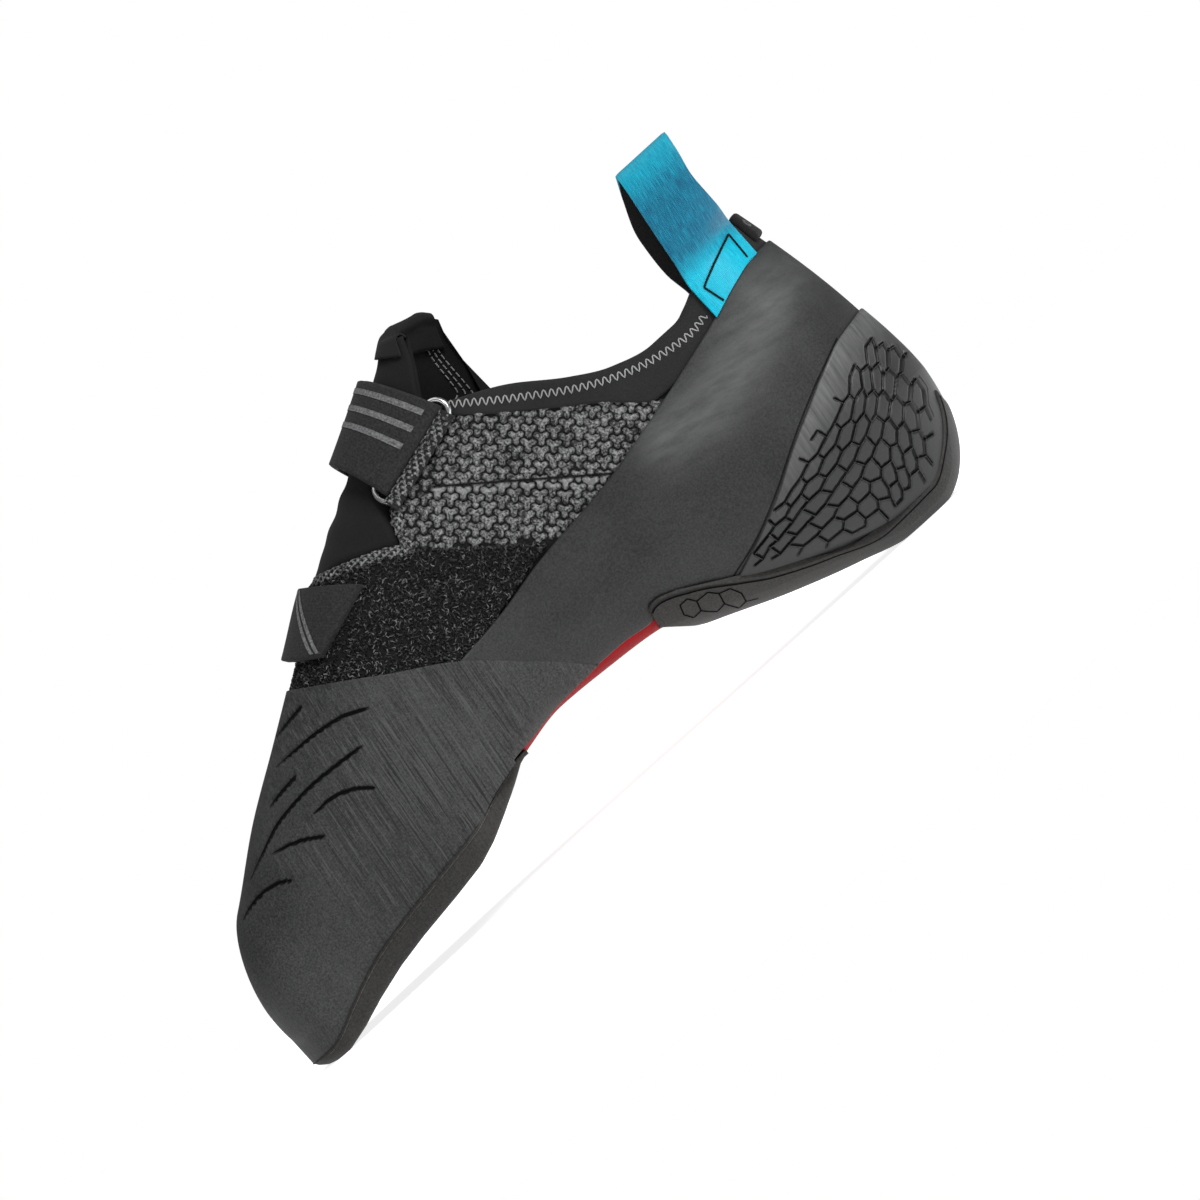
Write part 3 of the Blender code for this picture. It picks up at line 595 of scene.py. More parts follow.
def closed_skin(name, top, under, marks=None):
    """Closed piece between a top grid and the same grid's underside."""
    few = [*range(0, len(under) - 1, 6), len(under) - 1]
    thin = under[few]
    points = np.concatenate([top, thin[::-1], top[:1]])
    uv = grid_map(top)
    uv = np.concatenate([uv, uv[few][::-1], uv[:1]])
    padded = {}
    for key, mark in (marks or {}).items():
        padded[key] = np.concatenate([mark, np.zeros((len(thin), mark.shape[1])), mark[:1]])
    work = grid_bmesh(points, uv, padded)
    bmesh.ops.remove_doubles(work, verts=work.verts[:], dist=2e-6)
    bmesh.ops.dissolve_degenerate(work, edges=work.edges[:], dist=1e-7)
    return new_piece(name, sealed(work))


def raised(grid, out, depth):
    """Grid lifted off the last by a depth at each of its points."""
    return grid + out * depth[..., None]


def walled(name, work, wall, thickness, offset=-1):
    """Piece from an open sheet, given its thickness by a modifier."""
    bmesh.ops.recalc_face_normals(work, faces=work.faces[:])
    piece = new_piece(name, work)
    modifier = piece.modifiers.new(wall, "SOLIDIFY")
    modifier.thickness = thickness * MM
    modifier.offset = offset
    return piece


def tube_bmesh(path, radius, sides, flat=1.0, up=None, closed=False):
    """Ring swept along points; a flat share below 1 presses it towards the surface."""
    points = np.asarray(path, float)
    count = len(points)
    way = np.roll(points, -1, 0) - np.roll(points, 1, 0) if closed else np.gradient(points, axis=0)
    way = unit(way)
    if up is None:
        up = np.tile([0.31, -0.87, 0.39], (count, 1))
    side = unit(np.cross(way, up))
    rise = np.cross(side, way)
    turn = np.linspace(0, 2 * math.pi, sides + 1)
    reach = radius if np.ndim(radius) else np.full(count, radius)
    ring = side[:, None] * np.cos(turn)[None, :, None] + flat * rise[:, None] * np.sin(turn)[None, :, None]
    rings = points[:, None] + ring * np.asarray(reach)[:, None, None]
    if closed:
        rings = np.concatenate([rings, rings[:1]])
    return sealed(grid_bmesh(rings, grid_map(rings)), 1e-6)


def raw(work):
    """Bmesh put back from world metres to millimetres about the shoe's own zero."""
    for vertex in work.verts:
        vertex.co = np.array(vertex.co) / MM + CENTRE
    return work


def joined(name, works):
    """One piece from several bmeshes."""
    whole = bmesh.new()
    for work in works:
        part = bpy.data.meshes.new(name)
        work.to_mesh(part)
        work.free()
        whole.from_mesh(part)
        bpy.data.meshes.remove(part)
    return new_piece(name, whole)


def repeated(name, template, places):
    """One piece from many copies of a small shape, each at its own place, turn and size."""
    one = bpy.data.meshes.new(name)
    template.to_mesh(one)
    template.free()
    base = np.empty(len(one.vertices) * 3)
    one.vertices.foreach_get("co", base)
    base = base.reshape(-1, 3)
    own = one.attributes.new("own_tone", "FLOAT", "POINT")
    whole = bmesh.new()
    for k, (spot, axes) in enumerate(places):
        one.vertices.foreach_set("co", to_world(base @ axes + spot).ravel())
        own.data.foreach_set("value", np.full(len(base), (k * GOLDEN_SHARE) % 1))
        whole.from_mesh(one)
    bpy.data.meshes.remove(one)
    return new_piece(name, whole)


class Value:
    """One socket of a finish, so that sums on sockets read as sums."""

    def __init__(self, finish, socket):
        self.finish = finish
        self.socket = socket

    def math(self, operation, *others):
        """Math node on this value and others."""
        inputs = {k: other for k, other in enumerate((self, *others))}
        return self.finish.node("ShaderNodeMath", {"operation": operation}, inputs)

    def __add__(self, other):
        return self.math("ADD", other)

    def __radd__(self, other):
        return self.math("ADD", other)

    def __sub__(self, other):
        return self.math("SUBTRACT", other)

    def __rsub__(self, other):
        return (self * -1) + other

    def __mul__(self, other):
        return self.math("MULTIPLY", other)

    def __rmul__(self, other):
        return self.math("MULTIPLY", other)

    def __pow__(self, other):
        return self.math("POWER", other)

    def clamp(self, low=0.0, high=1.0):
        """Value kept between two limits."""
        return self.math("MAXIMUM", low).math("MINIMUM", high)


class Finish:
    """Material of one finish, with its Principled shader."""

    def __init__(self, name, roughness=0.6, metallic=0.0, **settings):
        self.material = bpy.data.materials.new(name)
        self.material.use_nodes = True
        self.tree = self.material.node_tree
        self.shader = self.tree.nodes["Principled BSDF"]
        self.set("Roughness", roughness)
        self.set("Metallic", metallic)
        for key, value in settings.items():
            self.set(key.replace("_", " "), value)

    def node(self, kind, settings=None, inputs=None, output=0):
        """Adds a node: its settings first, then the values or links of its sockets."""
        item = self.tree.nodes.new(kind)
        for key, value in (settings or {}).items():
            setattr(item, key, value)
        for key, value in (inputs or {}).items():
            if isinstance(value, Value):
                self.tree.links.new(value.socket, item.inputs[key])
            elif value is not None:
                item.inputs[key].default_value = value
        return Value(self, item.outputs[output])

    def set(self, name, value):
        """Sets or links one socket of the shader."""
        if isinstance(value, Value):
            self.tree.links.new(value.socket, self.shader.inputs[name])
        else:
            self.shader.inputs[name].default_value = value

    def object_place(self):
        """Object coordinates in metres."""
        return self.node("ShaderNodeTexCoord", output="Object")

    def map_place(self):
        """The piece's own map in millimetres, along and across."""
        return self.node("ShaderNodeUVMap", {"uv_map": "UVMap"})

    def mark(self, name):
        """Number stored on the piece's points."""
        return self.node("ShaderNodeAttribute", {"attribute_name": name}, output="Fac")

    def stretched(self, place, scale, lean=0.0):
        """Places scaled along axes that lean heelwards by some degrees."""
        inputs = {"Vector": place, "Scale": [1 / s for s in scale], "Rotation": (0, math.radians(lean), 0)}
        return self.node("ShaderNodeMapping", {"vector_type": "TEXTURE"}, inputs)

    def axis(self, place, name):
        """One axis of a place."""
        return self.node("ShaderNodeSeparateXYZ", {}, {"Vector": place}, name)

    def ribs(self, place, direction, scale, distortion):
        """Waves across one direction of a place."""
        inputs = {"Vector": place, "Scale": scale, "Distortion": distortion}
        return self.node("ShaderNodeTexWave", {"bands_direction": direction}, inputs, "Fac")

    def noise(self, place, scale, detail=4.0, roughness=0.55):
        """Cloudy noise from 0 to 1."""
        inputs = {"Vector": place, "Scale": scale, "Detail": detail, "Roughness": roughness}
        return self.node("ShaderNodeTexNoise", {}, inputs, "Fac")

    def between(self, factor, first, second):
        """Colour between two colours or linked tones."""
        mixed = self.node("ShaderNodeMix", {"data_type": "RGBA"}, {"Factor": factor}, "Result")
        item = mixed.socket.node
        colours = [socket for socket in item.inputs if socket.type == "RGBA"]
        for socket, value in zip(colours, (first, second)):
            if isinstance(value, Value):
                self.tree.links.new(value.socket, socket)
            else:
                socket.default_value = (*value, 1)
        result = [socket for socket in item.outputs if socket.type == "RGBA"][0]
        return Value(self, result)

    def bump(self, height, strength, distance):
        """Feeds a fine relief to the shader's normal."""
        inputs = {"Height": height, "Strength": strength, "Distance": distance}
        self.set("Normal", self.node("ShaderNodeBump", {}, inputs))


def tint(name, description, default):
    """Colour that a user may change."""
    return FloatVectorProperty(
        name=name, description=description, default=default, subtype="COLOR", size=3, min=0, max=1,
    )


def measure(name, description, default, least, most):
    """Length in metres that a user may change."""
    return FloatProperty(
        name=name, description=description, default=default, min=least, max=most, unit="LENGTH",
    )


class ShoeColours(bpy.types.PropertyGroup):
    """Colours of the shoe's finishes."""

    rand: tint("Rand", "Rubber of the rand and toe patch", (0.0205, 0.0214, 0.0210))
    cup: tint("Heel cup", "Rubber of the moulded heel cup", (0.0145, 0.0150, 0.0147))
    sole: tint("Sole", "Rubber of the outsole and heel sole", (0.0152, 0.0144, 0.0134))
    plate: tint("Arch plate", "Plate under the arch", (0.22, 0.005, 0.007))
    knit: tint("Knit", "Light yarn of the knit", (0.092, 0.094, 0.093))
    cloth: tint("Cloth", "Black binding, tongue and lining", (0.0075, 0.0075, 0.0077))
    webbing: tint("Webbing", "Strap tape", (0.0160, 0.0160, 0.0165))
    bars: tint("Strap bars", "Plain bars on the straps", (0.105, 0.105, 0.107))
    azure: tint("Pull loop", "Satin tape of the pull loop", (0.001, 0.35, 0.48))
    # Dark tone of the satin that the loop uses as painted shade in its middle.
    azure_painted_shade: tint("Pull loop shade", "Dark lie of the pull loop's satin", (0.001, 0.080, 0.155))
    thread: tint("Thread", "Light thread", (0.25, 0.25, 0.25))


class ShoeSizes(bpy.types.PropertyGroup):
    """Sizes of the shoe's surface detail."""

    groove_depth: measure("Groove depth", "Depth of the toe patch's cut grooves", 0.0009, 0, 0.0018)
    groove_width: measure("Groove width", "Width of the toe patch's cut grooves", 0.0011, 0.0005, 0.004)
    cell_groove: measure("Honeycomb groove", "Depth of the honeycomb grooves", 0.00055, 0, 0.0015)
    stitch: measure("Knit stitch", "Pitch of the knit along a row", 0.0068, 0.002, 0.012)
    course: measure("Knit row", "Pitch of the knit's rows", 0.00193, 0.001, 0.006)
    pile_loops: IntProperty(
        name="Pile loops", description="Number of loops on the pile patch", default=9000, min=200, max=9500,
    )
    thread: measure("Thread", "Radius of the collar's thread", 0.00021, 0.0001, 0.001)
    pull_tape: measure("Pull tape", "Thickness of the pull loop's tape", 0.0015, 0.0005, 0.003)
    frame_width: measure("View width", "Width that the camera takes in at the shoe", 0.324, 0.1, 2)


def colours():
    """The shoe's colours as a user has set them."""
    return bpy.context.scene.shoe_colours


def sizes():
    """The shoe's sizes as a user has set them."""
    return bpy.context.scene.shoe_sizes


def mix(colour, factor):
    """Colour made lighter or darker by a factor."""
    return tuple(min(1.0, c * factor) for c in colour)


def rubber_finish(name, colour, scratches=0.0, roughness=0.52, grooves=False, painted_highlight=False):
    """Dull cloudy rubber, with leaning sanding scratches where it has them, painted shade that darkens its
    cut grooves where it has grooves, and a pale painted highlight where it has a highlight mark.
    """
    finish = Finish(name, roughness, Specular_IOR_Level=0.3)
    place = finish.object_place()
    cloud = finish.noise(place, 38.0, 5.0, 0.6)
    dust = finish.noise(place, 1700.0, 3.0, 0.75)
    tone = (cloud - 0.5) * 1.8 + (dust - 0.5) * 4.5
    height = dust * 0.5 + cloud * 0.3
    if scratches:
        hair = finish.noise(finish.stretched(place, (1750, 300, 44), 8.0), 1.0, 3.0, 0.7) - 0.5
        behind_toe = ((finish.axis(place, "X") + 0.1) * 45.0).clamp(0.15, 1)
        patchy = (finish.noise(place, 30.0, 3.0) - 0.34).clamp(0, 0.3) * 3.3 * behind_toe
        light = ((hair - 0.06) * 10.0).clamp()
        dark = ((hair + 0.045) * -10.0).clamp()
        tone = tone + (light * 1.9 - dark * 1.5) * patchy * scratches
        height = height + (light - dark) * patchy * scratches * 0.8
    shade = (tone * 0.5 + 0.4).clamp()
    tone = finish.between(shade, mix(colour, 0.35), mix(colour, 2.1))
    # Painted highlight: the colour is lightened in streaks where the piece's highlight mark is high.
    if painted_highlight:
        streak = finish.noise(finish.stretched(place, (70, 70, 260), 12.0), 1.0, 4.0, 0.65)
        pale = (finish.mark("painted_highlight") * (streak * 1.8 - 0.1).clamp()).clamp()
        tone = finish.between(pale, tone, mix(colour, 5.3))
    # Painted shade: the colour darkens nearly to black in the cut grooves, by the piece's groove mark.
    if grooves:
        tone = finish.between((finish.mark("groove") * 1.4).clamp(), tone, mix(colour, 0.06))
    finish.set("Base Color", tone)
    finish.set("Roughness", (cloud * 0.2 + dust * 0.1 + (roughness - 0.13)).clamp(0.2, 0.95))
    finish.bump(height, 0.5, 0.0003)
    return finish.material


def cloth_finish(name, colour, scale, lift=1.9, roughness=0.88):
    """Fine smooth cloth or thread with a faint grain."""
    finish = Finish(name, roughness, Sheen_Weight=0.03, Specular_IOR_Level=0.12)
    place = finish.object_place()
    grain = finish.noise(place, scale, 2.0, 0.6)
    cloud = finish.noise(place, 60.0, 4.0, 0.6)
    shade = ((grain - 0.5) * 0.9 + (cloud - 0.5) * 0.7 + 0.5).clamp()
    finish.set("Base Color", finish.between(shade, mix(colour, 0.6), mix(colour, lift)))
    finish.bump(grain * 0.6 + cloud * 0.4, 0.35, 0.0003)
    return finish.material


def black_cloth(name, factor, scale):
    """Cloth finish in the shoe's black, made lighter or darker."""
    return cloth_finish(name, mix(colours().cloth, factor), scale)


def cut_shadow_finish():
    """Near black painted shadow for narrow cuts in rubber."""
    finish = Finish("painted_cut_shadow", 0.9, Specular_IOR_Level=0.05)
    grain = finish.noise(finish.object_place(), 900.0, 2.0)
    finish.set("Base Color", finish.between(grain, (0.0006, 0.0006, 0.0006), (0.0035, 0.0035, 0.0034)))
    return finish.material


def wire_finish():
    """Bright wire with faint scuffs."""
    finish = Finish("steel_wire", 0.24, 1.0)
    scuff = finish.noise(finish.object_place(), 700.0, 3.0)
    finish.set("Base Color", finish.between(scuff, (0.42, 0.42, 0.43), (0.66, 0.66, 0.67)))
    finish.set("Roughness", scuff * 0.2 + 0.15)
    return finish.material


def groove_floor(base, width, depth, side):
    """Narrow strip along a side view line of the last, at a depth above it."""
    path = on_last(base, side)
    out = outward(path)
    return floor_strip(path + out * np.reshape(depth, (-1, 1)), out, width)


def floor_strip(path, out, width):
    """Narrow hollow strip along points, facing out."""
    across = np.cross(out, unit(np.gradient(path, axis=0)))
    reach = np.reshape(np.broadcast_to(width, len(path)), (-1, 1)) * across
    section = ((-1, 0.02), (0, 0.12), (1, 0.02))
    points = np.array([path - out * drop + reach * part for part, drop in section])
    work = grid_bmesh(points, grid_map(points))
    bmesh.ops.recalc_face_normals(work, faces=work.faces[:])
    outside = Vector(out[len(out) // 2])
    if sum((face.normal for face in work.faces), Vector()).dot(outside) < 0:
        bmesh.ops.reverse_faces(work, faces=work.faces[:])
    return work


class SHOE_OT_upper(bpy.types.Operator):
    """Knit upper, open at the collar and throat, with its lining"""

    bl_idname = "shoe.upper"
    bl_label = "Upper"

    def execute(self, context):
        turn = np.linspace(0, math.pi / 2, 14)
        toe = TOE_NOSE["x"] + 0.001 + TOE_NOSE["plan"] * (1 - np.cos(turn))
        heel = HEEL_NOSE["x"] - 0.001 - HEEL_NOSE["plan"] * (1 - np.cos(turn[::-1]))
        x = np.concatenate([toe, np.linspace(toe[-1], heel[0], 110)[1:-1], heel])
        low, high = heights(x)
        shares = (1 - np.cos(np.linspace(0, math.pi, 200))) / 2
        grid = lay(columns_between(x, high, low, shares), 161)
        work = sealed(grid_bmesh(grid + outward(grid) * UPPER_TOP, grid_map(grid)), 2e-5)
        self.open_mouth(work)
        piece = new_piece("upper_shell", work)
        wall = piece.modifiers.new("Wall", "SOLIDIFY")
        wall.thickness = UPPER_TOP * MM
        wall.offset = -1
        wall.material_offset = 1
        finish_piece(piece, black_cloth("knit_ground", 1.1, 1500.0), ("upper",), 60)
        piece.data.materials.append(black_cloth("lining", 2.4, 1200.0))
        return {"FINISHED"}

    def open_mouth(self, work):
        """Cuts away the throat, and the collar's mouth down to just under the binding's rim."""
        rim = traced(COLLAR_EDGE, np.linspace(0, 1, 60))
        rim[:, 1] -= 1.2 + 2.8 * np.clip((rim[:, 0] - 219) / 8, 0, 1)
        mouth = [*THROAT_EDGE, *rim, (256, 89.5), (256, 175), (86.5, 175)]
        centres = np.array([face.calc_center_median() for face in work.faces]) / MM + CENTRE
        open_faces = inside_outline(centres[:, [0, 2]], [tuple(p) for p in mouth])
        gone = [face for face, away in zip(work.faces, open_faces) if away]
        bmesh.ops.delete(work, geom=gone, context="FACES")


class SHOE_OT_rubber(bpy.types.Operator):
    """Toe patch with its cut grooves, and the rand that runs back around the heel"""

    bl_idname = "shoe.rubber"
    bl_label = "Toe patch and rand"

    def execute(self, context):
        half_groove = sizes().groove_width / MM / 2
        self.toe_patch(half_groove)
        self.lay_groove_shadows(half_groove)
        self.rand()
        return {"FINISHED"}

    def toe_patch(self, half_groove):
        """Patch over the toes, sunk along its cut grooves."""
        corner = seated([(131.2, 31.0)], TOE_PATCH_TOP)[0]
        sole_line = traced((*OUTSOLE_TOP_EDGE[4:], *ARCH_EDGE[:3]), np.linspace(0.98, 0, 24))
        sole_line[:, 1] -= np.interp(sole_line[:, 0], [98, 106, 131], [-0.2, 1.3, 1.9])
        sole_line = seated(sole_line, TOE_PATCH_TOP)
        low = [corner, *sole_line[2:-1], (10, 10.0), (6.3, 10.35)]
        high = [corner, *seated(TOE_PATCH_EDGE[1:], TOE_PATCH_TOP), ridge_at(TOE_PATCH_RIDGE)]
        grid = lay(rows_between(low, high, lipped(112, 62, 0.8)), 461)
        out = outward(grid)
        drawn = (grid + out * TOE_PATCH_TOP)[..., [0, 2]]
        cut = np.zeros(grid.shape[:2])
        for groove in TOE_GROOVES:
            gap, along = line_distance(drawn, traced(groove, np.linspace(0, 1, 24)))
            taper = np.clip(along * 14, 0, 1) * np.clip((1 - along) * 1.6, 0, 1) ** 0.5
            wide = half_groove * (0.4 + 0.6 * taper)
            dip = np.clip(1.25 - 1.25 * (gap / wide) ** 2, 0, 1)
            cut = np.maximum(cut, dip * np.clip(taper * 1.6, 0, 1))
        depth = TOE_PATCH_TOP - rolled(edge_distance(grid), 0.4) - cut * sizes().groove_depth / MM
        top = raised(grid, out, depth)
        self.drop_to_sole(top, out)
        piece = closed_skin("toe_patch_rubber", top, grid + out * UNDER, {"groove": cut})
        # The groove mark also gives the painted shade in the cut grooves.
        rubber = rubber_finish("sanded_rubber", mix(colours().rand, 1.16), 1.6, 0.58, grooves=True)
        finish_piece(piece, rubber, ("toe_patch",), 50)

    def drop_to_sole(self, top, out):
        """Lets the patch fall straight to the sole line where the last turns under."""
        for j in range(top.shape[1]):
            first = int(np.argmax(out[:, j, 2] > -0.22))
            if top[first, j, 0] > 97:
                continue
            first = max(first, 2)
            edge = float(smooth_value(*np.array(OUTSOLE_TOP_EDGE).T, top[first, j, 0])) - 0.5
            part = np.linspace(0, 1, first, endpoint=False)
            high = top[first, j].copy()
            top[:first, j, :2] = high[:2]
            top[:first, j, 2] = edge + (high[2] - edge) * part

    def lay_groove_shadows(self, half_groove):
        """Black strips of painted shadow in the cut grooves, pointed at one end."""
        works = []
        part = np.linspace(0, 1, 40)
        taper = np.minimum(np.minimum(part * 7, 1), ((1 - part) * 1.3) ** 0.7).clip(0.05, 0.6)
        for side in SIDES:
            for groove in TOE_GROOVES:
                base = seated(traced(groove, part), TOE_PATCH_TOP, side)
                works.append(groove_floor(base, half_groove * taper, TOE_PATCH_TOP, side))
        finish_piece(joined("toe_groove_shadows", works), cut_shadow_finish())

    def rand(self):
        """Band from the arch back and up around the heel."""
        cup = seated(np.array(HEEL_CUP_EDGE) + (0.6, -0.9), RAND_TOP)
        low = [*seated(RAND_ARCH, RAND_TOP), *cup, (heel_back(53.2), 53.2)]
        high = [*seated(((100.0, 56.8), *RAND_EDGE[1:]), RAND_TOP), (heel_back(84.6), 84.6)]
        grid = lay(rows_between(low, high, lipped(48, 30)), 421)
        out = outward(grid)
        top = raised(grid, out, RAND_TOP - rolled(edge_distance(grid, True), 0.7))
        # Mark for a painted highlight on the rand, strongest along a drawn line and fading over about 9 mm.
        gap, _ = line_distance(grid[..., [0, 2]], np.array(RAND_PAINTED_HIGHLIGHT))
        marks = {"painted_highlight": np.exp(-((gap / 9.0) ** 2))}
        piece = closed_skin("sling_rand_rubber", top, grid + out * UNDER, marks)
        rubber = rubber_finish("rand_rubber", mix(colours().rand, 0.68), 0.0, 0.47, painted_highlight=True)
        finish_piece(piece, rubber, ("sling_rand",), 50)


class SHOE_OT_heel_cup(bpy.types.Operator):
    """Moulded heel cup with honeycomb grooves"""

    bl_idname = "shoe.heel_cup"
    bl_label = "Heel cup"

    def execute(self, context):
        start = seated([(174.6, 23.2)], HEEL_CUP_TOP)[0]
        sole = seated(np.array(HEEL_SOLE_EDGE[5:-2]) + (0.2, 0.6), HEEL_CUP_TOP)
        cup = seated(HEEL_CUP_EDGE[1:], HEEL_CUP_TOP)
        low = [start, *sole, (heel_back(13.0), 13.0)]
        high = [start, *cup, (heel_back(54.2), 54.2)]
        grid = lay(rows_between(low, high, lipped(100, 44, 1.5)), 441)
        out = outward(grid)
        depth = cup_depth(grid, out)
        walls = cup_cells()
        gap = wall_gap(raised(grid, out, depth)[..., [0, 2]], walls)
        cut = np.clip(1.3 - (gap / 0.42) ** 2, 0, 1)
        depth = depth - rolled(edge_distance(grid), 0.5) - cut * sizes().cell_groove / MM
        # Mark for a painted highlight along the cup's front edge, fading towards the back and towards the
        # bottom.
        from_front = run_across(grid[::-1])[::-1]
        painted_shine = np.exp(-((from_front / 8.5) ** 2)) * np.clip((grid[..., 2] - 26) / 16, 0, 1)
        marks = {"groove": cut, "painted_highlight": painted_shine}
        piece = closed_skin("heel_cup_rubber", raised(grid, out, depth), grid + out * UNDER, marks)
        finish_piece(piece, self.moulded_rubber(), ("heel_cup",), 50)
        self.cell_lines(walls)
        return {"FINISHED"}

    def cell_lines(self, walls):
        """Black strips of painted shadow in the honeycomb and along the cup's front seam, and a pale strip
        of painted highlight beside each wall.
        """
        part = np.linspace(0, 1, 5)[:, None]

        def line(first, last, side, width, rise, aside=0.0):
            base = seated(first + (last - first) * part + aside, HEEL_CUP_TOP, side)
            point = on_last(base, side)
            return groove_floor(base, width, cup_depth(point, outward(point)) + rise, side)

        floors, lips = [], []
        for side in SIDES:
            for first, last in walls:
                way = unit(last - first)
                upright = abs(way @ VIEW_UP) > 0.8
                floors.append(line(first, last, side, 0.09 if upright else 0.2, -0.05))
                # Pale strip of painted highlight beside each wall: right of upright walls, below the others
                # in the rolled view.
                lip = np.array([way[1], -way[0]])
                lip *= np.sign(lip @ (VIEW_RIGHT if upright else -VIEW_UP))
                lips.append(line(first, last, side, 0.09, 0.1, lip * 0.34))
            # Painted shadow along the step where the rand meets the cup's front edge.
            seam = seated(traced(HEEL_CUP_EDGE, np.linspace(0.01, 1, 80)) + (-0.45, 0.55), RAND_TOP, side)
            floors.append(groove_floor(seam, 0.22, RAND_TOP + 0.1, side))
        finish_piece(joined("cup_groove_shadows", floors), cut_shadow_finish())
        painted_shine = rubber_finish("lip_highlight_paint", mix(colours().cup, 3.4))
        finish_piece(joined("cup_groove_highlights", lips), painted_shine)

    def moulded_rubber(self):
        """Smooth moulded rubber, with a pale painted highlight, streaked like fine scratches, along the
        cup's front edge, and painted shade in its honeycomb grooves.
        """
        finish = Finish("cup_rubber", 0.44, Specular_IOR_Level=0.4)
        colour = colours().cup
        place = finish.object_place()
        cloud = finish.noise(place, 45.0, 5.0, 0.6)
        dust = finish.noise(place, 1500.0, 3.0, 0.7)
        shade = ((cloud - 0.5) * 0.9 + (dust - 0.5) * 0.9 + 0.45).clamp()
        tone = finish.between(shade, mix(colour, 0.55), mix(colour, 1.6))
        # Painted highlight: lightened in fine streaks where the front-edge mark is high.
        hair = finish.noise(finish.stretched(place, (900, 300, 60), 8.0), 1.0, 3.0, 0.7)
        pale = (finish.mark("painted_highlight") * (hair * 1.6 - 0.2).clamp()).clamp()
        tone = finish.between(pale, tone, mix(colour, 8.4))
        # Painted shade: darker in the honeycomb grooves.
        groove = (finish.mark("groove") * 1.3).clamp()
        finish.set("Base Color", finish.between(groove, tone, mix(colour, 0.10)))
        finish.set("Roughness", (cloud * 0.18 + 0.38).clamp())
        finish.bump(dust * 0.4 + cloud * 0.4, 0.25, 0.0003)
        return finish.material


